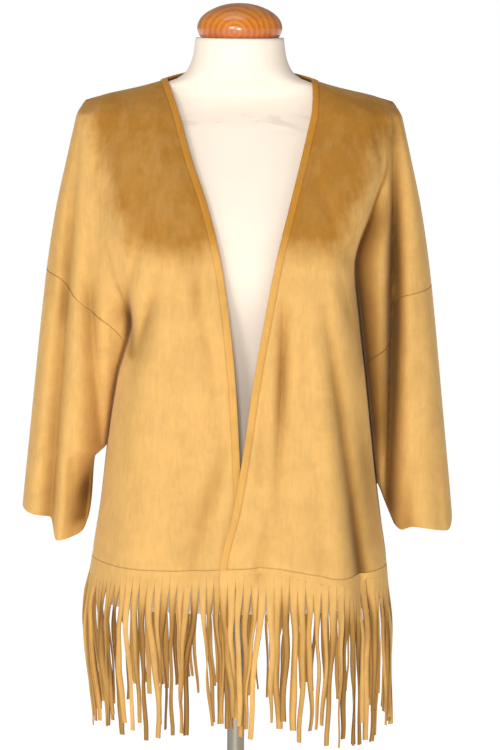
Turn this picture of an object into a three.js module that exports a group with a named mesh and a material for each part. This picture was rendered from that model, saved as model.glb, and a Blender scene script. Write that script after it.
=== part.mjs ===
// An open-front jacket with drop-shoulder sleeves and a fringed hem, on a dress form with a pole and a base.
// Millimetres, +Z up, the front faces -Y. "right" and "left" are the wearer's: right is at -X, left at +X.
// The cloth is described by horizontal sections of one half, with X measured outwards from the middle.
// Each section is a smooth curve through named anchors, numbered along the cloth:
//   0 front edge, 1 and 2 chest, 3 and 4 side of the body, 5 crease under the arm, 6 to 8 sleeve front,
//   9 outer line, 10 to 12 sleeve back, 13 crease, 14, 15 side of the body, 16, 17 back, 18 centre back.
import * as THREE from "three";

const CLOTH = 1.6; // wall of the cloth
const BAND_WALL = 2.6; // the edge band is doubled cloth
const BAND_WIDTH = 8;
const SEAM_GAP = 0.3;
const HEM_Z = 830;
const STRIP_HEIGHT = 17; // uncut strip above the fringe
const FRINGE_END_Z = 640;
const CAP_Z = 1380; // sections below this level, shoulder cap above it
const POLE_RADIUS = 11;
const BASE_RADIUS = 175;

const INDEX = { edge: 0, crease: 5, outer: 9, backCrease: 13, centreBack: 18 };

// Body sections: front edges of both sides, and how far the edge, front and back stand from the middle.
const BODY = [
  { z: 1380, edgeRight: 73, edgeLeft: 89, edgeDepth: 50, front: 60, back: 78 },
  { z: 1330, edgeRight: 58, edgeLeft: 77, edgeDepth: 79, front: 88, back: 95 },
  { z: 1270, edgeRight: 37, edgeLeft: 62, edgeDepth: 107, front: 114, back: 104 },
  { z: 1200, edgeRight: 20, edgeLeft: 45, edgeDepth: 128, front: 133, back: 108 },
  { z: 1130, edgeRight: 10, edgeLeft: 32, edgeDepth: 137, front: 140, back: 106 },
  { z: 1060, edgeRight: 3, edgeLeft: 20, edgeDepth: 141, front: 143, back: 106 },
  { z: 980, edgeRight: -2, edgeLeft: 9, edgeDepth: 144, front: 147, back: 110 },
  { z: 900, edgeRight: -6, edgeLeft: -4, edgeDepth: 148, front: 152, back: 116 },
  { z: 830, edgeRight: -9, edgeLeft: -19, edgeDepth: 151, front: 157, back: 122 },
  { z: 640, edgeRight: -7, edgeLeft: -25, edgeDepth: 152, front: 157, back: 124 },
];
// How far the left front lies outside the right one, where they overlap at the bottom.
const LAP_DEPTH = 7;

// Side of the body: where it stands, how deep the crease beside it is at the front and back, and how
// sharp it is (0 to 1).
const SIDES = {
  right: [
    { z: 1380, side: 152, crease: 46, backCrease: 58, sharp: 0 },
    { z: 1330, side: 160, crease: 66, backCrease: 72, sharp: 0 },
    { z: 1270, side: 158, crease: 86, backCrease: 76, sharp: 0 },
    { z: 1200, side: 146, crease: 92, backCrease: 66, sharp: 0.15 },
    { z: 1130, side: 130, crease: 52, backCrease: 48, sharp: 0.9 },
    { z: 1060, side: 147, crease: 30, backCrease: 28, sharp: 1 },
    { z: 974, side: 160, crease: 1.4, backCrease: 1.4, sharp: 1 },
    { z: 900, side: 168, crease: 0, backCrease: 0, sharp: 1 },
    { z: 830, side: 178, crease: 0, backCrease: 0, sharp: 1 },
    { z: 760, side: 186, crease: 0, backCrease: 0, sharp: 1 },
    { z: 640, side: 176, crease: 0, backCrease: 0, sharp: 1 },
  ],
  left: [
    { z: 1380, side: 172, crease: 42, backCrease: 54, sharp: 0 },
    { z: 1330, side: 176, crease: 50, backCrease: 66, sharp: 0.5 },
    { z: 1270, side: 161, crease: 50, backCrease: 66, sharp: 0.9 },
    { z: 1200, side: 142, crease: 44, backCrease: 54, sharp: 1 },
    { z: 1130, side: 149, crease: 36, backCrease: 40, sharp: 1 },
    { z: 1060, side: 157, crease: 26, backCrease: 28, sharp: 1 },
    { z: 926, side: 172, crease: 1.4, backCrease: 1.4, sharp: 1 },
    { z: 880, side: 178, crease: 0, backCrease: 0, sharp: 1 },
    { z: 830, side: 185, crease: 0, backCrease: 0, sharp: 1 },
    { z: 760, side: 189, crease: 0, backCrease: 0, sharp: 1 },
    { z: 640, side: 189, crease: 0, backCrease: 0, sharp: 1 },
  ],
};

// Sleeve sections: the outer line, and how far its front and back stand from the middle plane.
const SLEEVE = [
  { z: 1380, outer: 203, front: 38, back: 44 },
  { z: 1330, outer: 214, front: 52, back: 54 },
  { z: 1270, outer: 227, front: 62, back: 60 },
  { z: 1200, outer: 238, front: 68, back: 62 },
  { z: 1130, outer: 246, front: 70, back: 62 },
  { z: 1060, outer: 253, front: 68, back: 60 },
  { z: 980, outer: 261, front: 62, back: 56 },
  { z: 900, outer: 269, front: 56, back: 52 },
  { z: 850, outer: 273, front: 54, back: 50 },
];
// The inner line of each sleeve, under the arm.
const INNER = {
  right: [
    { z: 974, inner: 163 },
    { z: 970, inner: 165.5 },
    { z: 955, inner: 180 },
    { z: 900, inner: 184 },
    { z: 850, inner: 190 },
  ],
  left: [
    { z: 926, inner: 175 },
    { z: 922, inner: 178 },
    { z: 900, inner: 187 },
    { z: 850, inner: 208 },
  ],
};
const UNDERARM_Z = { right: 974, left: 926 };
// The armhole seam: share is 1 at the outer line and 0 in the crease.
const SEAM = {
  right: [
    { z: 1194, share: 1 },
    { z: 1182, share: 0.72 },
    { z: 1138, share: 0.42 },
    { z: 1085, share: 0.16 },
    { z: 974, share: 0.09 },
  ],
  left: [
    { z: 1176, share: 1 },
    { z: 1160, share: 0.66 },
    { z: 1104, share: 0.5 },
    { z: 1060, share: 0.09 },
    { z: 926, share: 0.09 },
  ],
};
// Height of the cuff, by anchor number from the inner line (5) round the front to the outer line (9) and
// the back (13).
const CUFF = {
  right: [
    { at: 5, z: 930 },
    { at: 5.5, z: 884 },
    { at: 6, z: 865 },
    { at: 6.67, z: 857 },
    { at: 7, z: 855 },
    { at: 7.33, z: 882 },
    { at: 8, z: 887 },
    { at: 9, z: 894 },
    { at: 11, z: 882 },
    { at: 12.2, z: 872 },
    { at: 13, z: 930 },
  ],
  left: [
    { at: 5, z: 874 },
    { at: 6, z: 868 },
    { at: 7, z: 872 },
    { at: 8, z: 868 },
    { at: 9, z: 876 },
    { at: 11, z: 872 },
    { at: 13, z: 874 },
  ],
};

// Folds: valleys that run from top to bottom, with their depth at the top, middle and bottom. near and far
// are the half widths of a fold on its inner and outer side, and face is -1 at the front and 1 at the back.
const FOLD_COLUMNS = "side face xTop zTop xBottom zBottom near far top middle bottom".split(" ");
const FOLDS = [
  ["right", -1, 197, 1372, 232, 880, 8, 16, 5, 17, 22],
  ["right", -1, 186, 1230, 172, 985, 10, 12, 4, 13, 10],
  ["right", -1, 92, 1205, 134, 1050, 15, 11, 3, 9, 3],
  ["right", -1, 42, 1225, 56, 1120, 8, 9, 2, 4, 1],
  ["right", -1, 20, 990, 52, 835, 12, 16, 2, 7, 5],
  ["left", -1, 195, 1376, 192, 915, 10, 17, 9, 30, 18],
  ["left", -1, 58, 1215, 50, 930, 9, 11, 2, 11, 4],
  ["left", -1, 100, 1195, 152, 825, 12, 18, 2, 13, 22],
  ["left", -1, 124, 1195, 146, 1100, 7, 7, 2, 6, 2],
  ["left", -1, 42, 910, 28, 830, 11, 13, 1, 5, 5],
  ["right", 1, 60, 1290, 72, 826, 18, 22, 1, 8, 14],
  ["right", 1, 112, 1240, 128, 826, 14, 18, 1, 10, 15],
  ["left", 1, 48, 1270, 54, 826, 18, 20, 1, 7, 13],
  ["left", 1, 104, 1250, 124, 826, 15, 19, 1, 11, 16],
  ["right", 1, 196, 1360, 222, 890, 13, 13, 4, 15, 17],
  ["left", 1, 194, 1360, 224, 890, 12, 14, 5, 17, 15],
].map((row) => Object.fromEntries(FOLD_COLUMNS.map((name, k) => [name, row[k]])));

// Shoulder line from the neck point to the tip, and the back neckline.
const NECK_POINT = new THREE.Vector3(90, 5, 1429);
const SHOULDER_TIP = new THREE.Vector3(191, 1, 1402);
const NECK_BACK = { y: 62, z: 1443 };

const SHOULDER_STEPS = 10;
const NECK_STEPS = 6;
const CAP_LEVELS = [0.12, 0.32, 0.64];
const LEVELS = [
  1380, 1352, 1322, 1290, 1256, 1222, 1207, 1194, 1185, 1176, 1163, 1150, 1135, 1120, 1104, 1088, 1070, 1052, 1033,
  1014, 994, 974, 950, 926, 895, 862, 830,
];
const BODY_FRONT = [0, 0.7, 1.3, 2, 2.6, 3, 3.5, 4, 4.5, 5];
const SLEEVE_FRONT = [5, 5.5, 6, 6.33, 6.67, 7, 7.33, 7.67, 8, 8.5, 9];
const SLEEVE_BACK = [9, 9.7, 10.4, 11, 11.6, 12.2, 13];
const BODY_BACK = [13, 13.7, 14.4, 15, 15.7, 16.4, 17.1, 18];

const NECK_INDEX = 16.3; // anchor number that runs up to the neck point at the back
const STEP = 0.02;

const SIGN = { right: -1, left: 1 };
const lerp = (a, b, t) => a + (b - a) * t;
const smooth = (a, b, t) => THREE.MathUtils.smoothstep(t, a, b);

// The value of one column of a table at a level, by a smooth curve through its rows.
function at(rows, key, place, by = "z") {
  const sorted = [...rows].sort((p, q) => p[by] - q[by]);
  const last = sorted.length - 1;
  if (place <= sorted[0][by]) return sorted[0][key];
  if (place >= sorted[last][by]) return sorted[last][key];
  const i = sorted.findIndex((row) => row[by] > place) - 1;
  const slope = (k) => (sorted[k + 1][key] - sorted[k][key]) / (sorted[k + 1][by] - sorted[k][by]);
  const tangent = (k) => {
    if (k === 0) return slope(0);
    if (k === last) return slope(last - 1);
    const before = slope(k - 1);
    const after = slope(k);
    return before * after <= 0 ? 0 : (2 * before * after) / (before + after);
  };
  const step = sorted[i + 1][by] - sorted[i][by];
  const t = (place - sorted[i][by]) / step;
  const a = sorted[i][key];
  const b = sorted[i + 1][key];
  const rise = t * t * (3 - 2 * t);
  return lerp(a, b, rise) + step * (t * (1 - t) * (1 - t) * tangent(i) - t * t * (1 - t) * tangent(i + 1));
}

// How far the folds push the cloth inwards at a place on one side and face.
function foldDepth(side, face, x, z) {
  let sum = 0;
  for (const fold of FOLDS) {
    if (fold.side !== side || fold.face !== face) continue;
    const t = (fold.zTop - z) / (fold.zTop - fold.zBottom);
    const fade = smooth(-0.12, 0.08, t) * (1 - smooth(1.0, 1.25, t));
    if (fade === 0) continue;
    const held = THREE.MathUtils.clamp(t, 0, 1);
    const upper = lerp(fold.top, fold.middle, smooth(0, 0.5, held));
    const depth = held < 0.5 ? upper : lerp(fold.middle, fold.bottom, smooth(0.5, 1, held));
    const away = x - lerp(fold.xTop, fold.xBottom, t);
    const width = away < 0 ? fold.near : fold.far;
    sum += fade * depth * Math.exp(-((away / width) ** 2));
  }
  return sum;
}

// The anchors of one half section, as points (X outwards, Y), before the folds.
function anchors(side, z) {
  const body = (key) => at(BODY, key, z);
  const beside = (key) => at(SIDES[side], key, z);
  const sleeve = (key) => at(SLEEVE, key, z);
  const below = z < UNDERARM_Z[side];
  const edge = body(side === "right" ? "edgeRight" : "edgeLeft");
  const lap = side === "left" ? LAP_DEPTH * (1 - smooth(930, 1010, z)) : 0;
  const flank = beside("side");
  const sharp = beside("sharp");
  const outer = sleeve("outer");
  const inner = below ? at(INNER[side], "inner", z) : flank + 3;
  const half = (face) => {
    const depth = face < 0 ? body("front") : body("back");
    const crease = beside(face < 0 ? "crease" : "backCrease");
    const arm = sleeve(face < 0 ? "front" : "back");
    const start = face < 0 ? edge : 0;
    const reach = flank - start;
    const run = (share) => start + share * reach;
    const sleeveX = (share) => lerp(inner, outer, share);
    const flat = (x) => lerp(depth * 0.93, arm, smooth(run(0.78), sleeveX(0.42), x));
    const blend = (x, y, creasedX, creasedY) => [lerp(x, creasedX, sharp), face * lerp(y, creasedY, sharp)];
    return {
      middle: [[run(0.36), face * depth], [run(0.74), face * depth * 0.95]],
      flank: [
        blend(flank - 16, flat(flank - 16), flank - 3, crease + 0.5 * (depth - crease)),
        blend(flank - 6, flat(flank - 6), flank + 0.5, crease + 0.14 * (depth - crease)),
      ],
      crease: blend(flank + 4, flat(flank + 4), flank + 3, crease),
      arm: [
        blend(flank + 16, flat(flank + 16), inner + 6, crease + 0.55 * (arm - crease)),
        [sleeveX(0.42), face * arm],
        [sleeveX(0.84), face * arm * 0.76],
      ],
    };
  };
  const front = half(-1);
  const back = half(1);
  const outerPoint = [outer, 6];
  return {
    below,
    edge: [edge, -body("edgeDepth") - lap],
    front: [...front.middle.map(([x, y]) => [x, y - lap * (1 - smooth(30, 110, x))]), ...front.flank],
    frontCrease: front.crease,
    sleeve: [...front.arm, outerPoint, ...[...back.arm].reverse()],
    backCrease: back.crease,
    back: [...[...back.flank].reverse(), ...[...back.middle].reverse()],
    centreBack: [0, body("back")],
    inner: [inner, 0],
    flank: [flank + 3, 0],
  };
}

// A section as a smooth curve through its anchors. In a sharp crease the curve turns round in a tight bend.
const sections = new Map();
function section(side, z, part) {
  const id = [side, part, z.toFixed(4)].join();
  if (sections.has(id)) return sections.get(id);
  const s = anchors(side, z);
  const mirror = [-s.back[3][0], s.back[3][1]];
  const bends = [];
  let list = [s.edge, ...s.front, s.flank, ...s.back, s.centreBack, mirror];
  const closed = s.below && part === "sleeve";
  if (closed) list = [s.inner, ...s.sleeve];
  if (!s.below) {
    list = [s.edge, ...s.front, s.frontCrease, ...s.sleeve, s.backCrease, ...s.back, s.centreBack, mirror];
    bends.push([INDEX.crease, 1], [INDEX.backCrease, -1]);
  }
  const count = list.length;
  const get = (i) => (closed ? list[(i + count) % count] : list[Math.min(Math.max(i, 0), count - 1)]);
  const gap = (a, b) => Math.sqrt(Math.hypot(b[0] - a[0], b[1] - a[1])) || 1;
  const slopes = list.map((p, i) => {
    const [a, b] = [get(i - 1), get(i + 1)];
    const before = gap(a, p);
    const after = gap(p, b);
    return [0, 1].map((k) => {
      const first = (p[k] - a[k]) / before;
      const next = (b[k] - p[k]) / after;
      const whole = (b[k] - a[k]) / (before + after);
      return { before: before * (first - whole + next), after: after * (first - whole + next) };
    });
  });
  for (const [i, way] of bends) {
    const sharp = at(SIDES[side], "sharp", z);
    const bend = [9 * way, 0];
    slopes[i].forEach((slope, k) => {
      slope.before = lerp(slope.before, bend[k], sharp);
      slope.after = lerp(slope.after, bend[k], sharp);
    });
  }
  const made = { get, slopes, count, closed, below: s.below, first: closed ? INDEX.crease : 0 };
  sections.set(id, made);
  return made;
}
function sectionPoint(made, place) {
  const spans = made.closed ? made.count : made.count - 1;
  const held = THREE.MathUtils.clamp(place, 0, spans - 1e-9);
  const i = Math.floor(held);
  const t = held - i;
  const [p, q] = [made.get(i), made.get(i + 1)];
  const [m, n] = [made.slopes[i], made.slopes[(i + 1) % made.count]];
  return [0, 1].map((k) => {
    const rise = t * t * (3 - 2 * t);
    return lerp(p[k], q[k], rise) + t * (1 - t) ** 2 * m[k].after - t * t * (1 - t) * n[k].before;
  });
}

// A point of the cloth at a level, by anchor number, on the body or the sleeve.
function clothPoint(side, z, index, part = "body") {
  const made = section(side, z, part);
  let place = index - made.first;
  // Below the underarm the body skips the sleeve's anchors.
  if (made.below && part === "body" && index > INDEX.outer) {
    place = index - (INDEX.backCrease - INDEX.crease);
  }
  const [x, y] = sectionPoint(made, place);
  const face = index < INDEX.outer ? -1 : 1;
  const nearOuter = smooth(0, 0.9, Math.abs(index - INDEX.outer));
  const nearMiddle = 1 - smooth(17.4, 18, index);
  const fromSide = Math.min(Math.abs(index - INDEX.crease), Math.abs(index - INDEX.backCrease));
  const nearSide = made.below ? smooth(0, 0.9, fromSide) : 1;
  const deep = Math.min(foldDepth(side, face, x, z), 0.55 * Math.abs(y));
  const push = deep * nearOuter * nearMiddle * nearSide;
  return new THREE.Vector3(SIGN[side] * x, y - face * push, z);
}

// The outward normal: walking from the front edge to the back keeps the outside on one hand.
const normals = new Map();
function clothNormal(side, z, index, part = "body") {
  const below = section(side, z, part).below;
  const id = [side, z.toFixed(3), index.toFixed(3), below ? part : "all"].join();
  if (!normals.has(id)) {
    const least = section(side, z, part).first;
    const ahead = clothPoint(side, z, Math.min(index + STEP, INDEX.centreBack), part);
    const along = ahead.sub(clothPoint(side, z, Math.max(index - STEP, least), part));
    const above = clothPoint(side, Math.min(z + 3, CAP_Z), index, part);
    const up = above.sub(clothPoint(side, z - 3, index, part));
    const n = along.cross(up).multiplyScalar(SIGN[side]).normalize();
    if (index === INDEX.centreBack) n.x = 0;
    normals.set(id, n.normalize());
  }
  return normals.get(id).clone();
}

// The shoulder line, from the neck point to the tip.
const SHOULDER_LENGTH = NECK_POINT.distanceTo(SHOULDER_TIP);
const NECK_SHARE = BAND_WIDTH / SHOULDER_LENGTH;
function shoulderLine(side, share) {
  const p = NECK_POINT.clone().lerp(SHOULDER_TIP, share);
  p.z -= 3 * Math.sin(Math.PI * share) * (1 - 1.6 * share);
  p.x *= SIGN[side];
  return p;
}
function shoulderNormal(side, share) {
  const along = shoulderLine(side, share + 0.01).sub(shoulderLine(side, share - 0.01));
  const tip = smooth(0.8, 1, share) * 1.2 * Math.abs(along.x);
  return new THREE.Vector3(SIGN[side] * (tip - along.z), 0, Math.abs(along.x)).normalize();
}
// The back neckline, from centre back (0) to the shoulder line (1). inset is its distance from the edge.
function neckLine(side, share, inset) {
  const start = shoulderLine(side, inset / SHOULDER_LENGTH);
  const along = shoulderLine(side, 0).sub(shoulderLine(side, NECK_SHARE)).normalize();
  const end = new THREE.Vector3(0, NECK_BACK.y + 0.5 * inset, NECK_BACK.z - 0.85 * inset);
  const lean = start.clone().addScaledVector(along, 16).add(new THREE.Vector3(0, 30 + 0.5 * inset, 0));
  const flat = end.clone().add(new THREE.Vector3(SIGN[side] * (44 + 0.6 * inset), 0, 0));
  return new THREE.CubicBezierCurve3(end, flat, lean, start).getPoint(share);
}

// The top of the cloth above an anchor number, and the way the cloth leaves it.
function topOf(side, index, start, inset) {
  const least = inset / SHOULDER_LENGTH;
  const face = index < INDEX.outer ? -1 : 1;
  if (index > NECK_INDEX) {
    const share = (INDEX.centreBack - index) / (INDEX.centreBack - NECK_INDEX);
    const leave = new THREE.Vector3(0, 1, 0).lerp(new THREE.Vector3(0, 0.5, -0.85), 1 - share);
    return { point: neckLine(side, share, inset), leave, share: 0 };
  }
  const frontRun = (index - start) / (INDEX.outer - start);
  const backRun = (NECK_INDEX - index) / (NECK_INDEX - INDEX.outer);
  const run = index <= INDEX.outer ? frontRun : backRun;
  const share = lerp(least, 1, run);
  const tip = new THREE.Vector3(SIGN[side] * 0.8, 0, -0.75);
  const leave = new THREE.Vector3(0, face, 0).lerp(tip, smooth(0.72, 1, share));
  return { point: shoulderLine(side, share), leave, share };
}
// A point of the shoulder cap, from the top (level 0) down to the section at CAP_Z (level 1).
function capPoint(side, index, level, start = 0, inset = 0) {
  const { point: top, leave } = topOf(side, index, start, inset);
  const low = clothPoint(side, CAP_Z, index);
  const drop = top.z - low.z;
  const spread = Math.hypot(low.x - top.x, low.y - top.y);
  const arrive = clothPoint(side, CAP_Z - 12, index).sub(low).multiplyScalar((1.1 * drop) / 12);
  const t = level;
  const p = top.multiplyScalar(1 - t * t * (3 - 2 * t)).addScaledVector(low, t * t * (3 - 2 * t));
  p.addScaledVector(leave.setLength(1.2 * Math.max(spread, 0.5 * drop)), t * (1 - t) ** 2);
  return p.addScaledVector(arrive, -t * t * (1 - t));
}
function capNormal(side, index, level, start = 0, inset = 0) {
  if (level === 0 && index <= NECK_INDEX) {
    return shoulderNormal(side, topOf(side, index, start, inset).share);
  }
  if (level === 1) return clothNormal(side, CAP_Z, index);
  const place = (i, t) => capPoint(side, i, t, start, inset);
  const down = place(index, level + 0.05).sub(place(index, Math.max(level - 0.05, 0)));
  if (index === INDEX.outer) {
    return new THREE.Vector3(-down.z * SIGN[side], 0, Math.abs(down.x)).normalize();
  }
  const least = Math.max(index - STEP, start);
  const along = place(Math.min(index + STEP, INDEX.centreBack), level).sub(place(least, level));
  const n = down.cross(along).multiplyScalar(SIGN[side]).normalize();
  if (index === INDEX.centreBack) n.x = 0;
  return n.normalize();
}

// An open surface of triangles that becomes a wall: points with normals and a thickness.
class Sheet {
  points = [];
  normals = [];
  triangles = [];
  add(point, normal, place = 0) {
    this.points.push(point);
    this.normals.push(normal);
    return { id: this.points.length - 1, place };
  }
  // Joins two rows of points by stepping along whichever is behind.
  join(upper, lower) {
    let i = 0;
    let j = 0;
    while (i < upper.length - 1 || j < lower.length - 1) {
      const nextUpper = i < upper.length - 1 ? upper[i + 1].place : Infinity;
      const nextLower = j < lower.length - 1 ? lower[j + 1].place : Infinity;
      if (nextUpper <= nextLower + 1e-6) {
        this.triangles.push([upper[i].id, lower[j].id, upper[i + 1].id]);
        i += 1;
      } else {
        this.triangles.push([upper[i].id, lower[j].id, lower[j + 1].id]);
        j += 1;
      }
    }
  }
  // Finds the free edges and moves them inwards along the surface.
  drawIn(distance) {
    const key = (a, b) => (a < b ? a + "_" + b : b + "_" + a);
    const edges = new Map();
    for (const [a, b, c] of this.triangles) {
      for (const [p, q, r] of [[a, b, c], [b, c, a], [c, a, b]]) {
        edges.set(key(p, q), edges.has(key(p, q)) ? null : [p, q, r]);
      }
    }
    const inward = this.points.map(() => []);
    this.rim = [...edges.values()].filter(Boolean);
    for (const [p, q, r] of this.rim) {
      const along = this.points[q].clone().sub(this.points[p]).normalize();
      const across = this.points[r].clone().sub(this.points[p]);
      across.addScaledVector(along, -across.dot(along)).normalize();
      inward[p].push(across);
      inward[q].push(across);
    }
    inward.forEach((list, id) => {
      if (!list.length) return;
      const move = list.reduce((sum, v) => sum.add(v), new THREE.Vector3());
      move.addScaledVector(this.normals[id], -move.dot(this.normals[id]));
      if (move.length() > 1e-6) this.points[id].add(move.setLength(distance));
    });
  }
  wall(thickness, inset = SEAM_GAP / 2) {
    this.drawIn(inset);
    const count = this.points.length;
    const place = [];
    for (const share of [0.5, -0.5]) {
      this.points.forEach((p, i) => {
        const q = p.clone().addScaledVector(this.normals[i], share * thickness);
        place.push(q.x, q.y, q.z);
      });
    }
    const faces = [];
    for (const [a, b, c] of this.triangles) faces.push(a, b, c, a + count, c + count, b + count);
    for (const [p, q] of this.rim) faces.push(q, p, p + count, q, p + count, q + count);
    return closedGeometry(place, faces);
  }
}

// A geometry from points and faces, with its faces turned outwards.
function closedGeometry(place, faces) {
  const point = (i) => new THREE.Vector3().fromArray(place, 3 * i);
  let volume = 0;
  for (let i = 0; i < faces.length; i += 3) {
    volume += point(faces[i]).dot(point(faces[i + 1]).cross(point(faces[i + 2])));
  }
  const turned = [...faces];
  if (volume < 0) {
    for (let i = 0; i < faces.length; i += 3) {
      turned[i] = faces[i + 1];
      turned[i + 1] = faces[i];
    }
  }
  const geometry = new THREE.BufferGeometry();
  geometry.setAttribute("position", new THREE.Float32BufferAttribute(place, 3));
  geometry.setIndex(turned);
  return geometry;
}

// Anchor number where the body ends and the sleeve begins at the front; the back mirrors it.
function seamIndex(side, z) {
  if (z >= SEAM[side][0].z) return INDEX.outer;
  if (z < UNDERARM_Z[side]) return INDEX.crease;
  return lerp(INDEX.crease, INDEX.outer, at(SEAM[side], "share", z));
}
const onBack = (index) => 2 * INDEX.outer - index;

// Anchor number at which the band meets the front.
const bandEnds = new Map();
function bandIndex(side, z) {
  const id = side + z.toFixed(3);
  if (!bandEnds.has(id)) {
    const edge = clothPoint(side, z, 0);
    let low = 0;
    let high = 1.5;
    for (let i = 0; i < 24; i++) {
      const middle = (low + high) / 2;
      if (clothPoint(side, z, middle).distanceTo(edge) < BAND_WIDTH) low = middle;
      else high = middle;
    }
    bandEnds.set(id, low);
  }
  return bandEnds.get(id);
}

const levelsOf = (side) =>
  [...new Set([...LEVELS, SEAM[side][0].z, UNDERARM_Z[side], UNDERARM_Z[side] - 4])].sort((a, b) => b - a);
const evenly = (steps, from, to) => Array.from({ length: steps + 1 }, (_, k) => lerp(from, to, k / steps));
const spaced = (list, from, to) => {
  const inner = list.filter((i) => i > from + 0.12 && i < to - 0.12);
  return [from, ...new Set(inner), to];
};
const clothRow = (sheet, side, z, list, part) =>
  list.map((i) => sheet.add(clothPoint(side, z, i, part), clothNormal(side, z, i, part), i));
const capRow = (sheet, side, level, list, start, inset) =>
  list.map((i) => {
    const point = capPoint(side, i, level, start, inset);
    return sheet.add(point, capNormal(side, i, level, start, inset), i);
  });
function joinAll(sheet, rows) {
  rows.slice(1).forEach((row, i) => sheet.join(rows[i], row));
}

function frontPanel(side) {
  const sheet = new Sheet();
  const start = bandIndex(side, CAP_Z);
  const top = evenly(SHOULDER_STEPS, start, INDEX.outer);
  const wide = spaced([...BODY_FRONT, ...SLEEVE_FRONT], start, INDEX.outer);
  const rows = [capRow(sheet, side, 0, top, start, BAND_WIDTH)];
  for (const level of CAP_LEVELS) rows.push(capRow(sheet, side, level, wide, start, BAND_WIDTH));
  for (const z of levelsOf(side)) {
    const list = spaced([...BODY_FRONT, ...SLEEVE_FRONT], bandIndex(side, z), seamIndex(side, z));
    rows.push(clothRow(sheet, side, z, list));
  }
  joinAll(sheet, rows);
  return sheet.wall(CLOTH);
}

// One row of the back, from the right outer line or seam to the left one, counted from the middle.
function acrossBack(sheet, makeHalf) {
  const centre = INDEX.centreBack;
  const right = makeHalf("right").map(({ point, normal, index }) => sheet.add(point, normal, index - centre));
  const left = makeHalf("left").map(({ point, normal, index }) => sheet.add(point, normal, centre - index));
  return [...right, ...left.reverse().slice(1)];
}
function backPanel() {
  const sheet = new Sheet();
  const shoulder = evenly(SHOULDER_STEPS, INDEX.outer, NECK_INDEX);
  const neck = evenly(NECK_STEPS, NECK_INDEX, INDEX.centreBack).slice(1);
  const all = [...SLEEVE_BACK, ...BODY_BACK];
  const capHalf = (level, list) => (side) =>
    list.map((index) => ({
      point: capPoint(side, index, level, 0, BAND_WIDTH),
      normal: capNormal(side, index, level, 0, BAND_WIDTH),
      index,
    }));
  const rows = [acrossBack(sheet, capHalf(0, [...shoulder, ...neck]))];
  const wide = spaced(all, INDEX.outer, INDEX.centreBack);
  for (const level of CAP_LEVELS) rows.push(acrossBack(sheet, capHalf(level, wide)));
  const levels = [...new Set([...levelsOf("right"), ...levelsOf("left")])].sort((a, b) => b - a);
  for (const z of levels) {
    const half = (side) =>
      spaced(all, onBack(seamIndex(side, z)), INDEX.centreBack).map((index) => ({
        point: clothPoint(side, z, index),
        normal: clothNormal(side, z, index),
        index,
      }));
    rows.push(acrossBack(sheet, half));
  }
  joinAll(sheet, rows);
  return sheet.wall(CLOTH);
}

// A sleeve starts as a point at the top of the armhole seam and closes into a tube below the underarm.
function sleeve(side) {
  const sheet = new Sheet();
  const all = [...new Set([...SLEEVE_FRONT, ...SLEEVE_BACK])];
  const lowest = Math.max(...CUFF[side].map((row) => row.z)) + 14;
  const rows = [];
  for (const z of levelsOf(side).filter((level) => level <= SEAM[side][0].z && level > lowest)) {
    const from = seamIndex(side, z);
    if (from === INDEX.outer) {
      rows.push(clothRow(sheet, side, z, [INDEX.outer], "sleeve"));
      continue;
    }
    const row = clothRow(sheet, side, z, spaced(all, from, onBack(from)), "sleeve");
    if (z < UNDERARM_Z[side]) row[row.length - 1].id = row[0].id;
    rows.push(row);
  }
  const last = levelsOf(side).filter((level) => level > lowest).pop();
  for (const share of [0.5, 1]) {
    const row = all.map((index) => {
      const z = lerp(last, at(CUFF[side], "z", index, "at"), share);
      return sheet.add(clothPoint(side, z, index, "sleeve"), clothNormal(side, z, index, "sleeve"), index);
    });
    row[row.length - 1].id = row[0].id;
    rows.push(row);
  }
  joinAll(sheet, rows);
  return sheet.wall(CLOTH, 0.4);
}

// The edge band: up one front, round the back of the neck and down the other.
function band() {
  const sheet = new Sheet();
  const half = (side) => {
    const pairs = [];
    for (const z of [...levelsOf(side)].reverse()) {
      pairs.push([0, bandIndex(side, z)].map((i) => [clothPoint(side, z, i), clothNormal(side, z, i)]));
    }
    const start = bandIndex(side, CAP_Z);
    for (const level of [...CAP_LEVELS].reverse()) {
      pairs.push([
        [capPoint(side, 0, level), capNormal(side, 0, level)],
        [capPoint(side, start, level, start, BAND_WIDTH), capNormal(side, start, level, start, BAND_WIDTH)],
      ]);
    }
    for (let k = 0; k <= NECK_STEPS; k++) {
      const index = lerp(NECK_INDEX, INDEX.centreBack, k / NECK_STEPS);
      const pair = [0, BAND_WIDTH].map((inset) => {
        const point = capPoint(side, index, 0, 0, inset);
        return [point, capNormal(side, index, 0, 0, inset)];
      });
      pairs.push(pair);
    }
    return pairs;
  };
  const pairs = [...half("right"), ...half("left").reverse().slice(1)];
  const rows = pairs.map((pair) => pair.map(([point, normal], k) => sheet.add(point, normal, k)));
  joinAll(sheet, rows);
  return sheet.wall(BAND_WALL);
}

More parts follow.
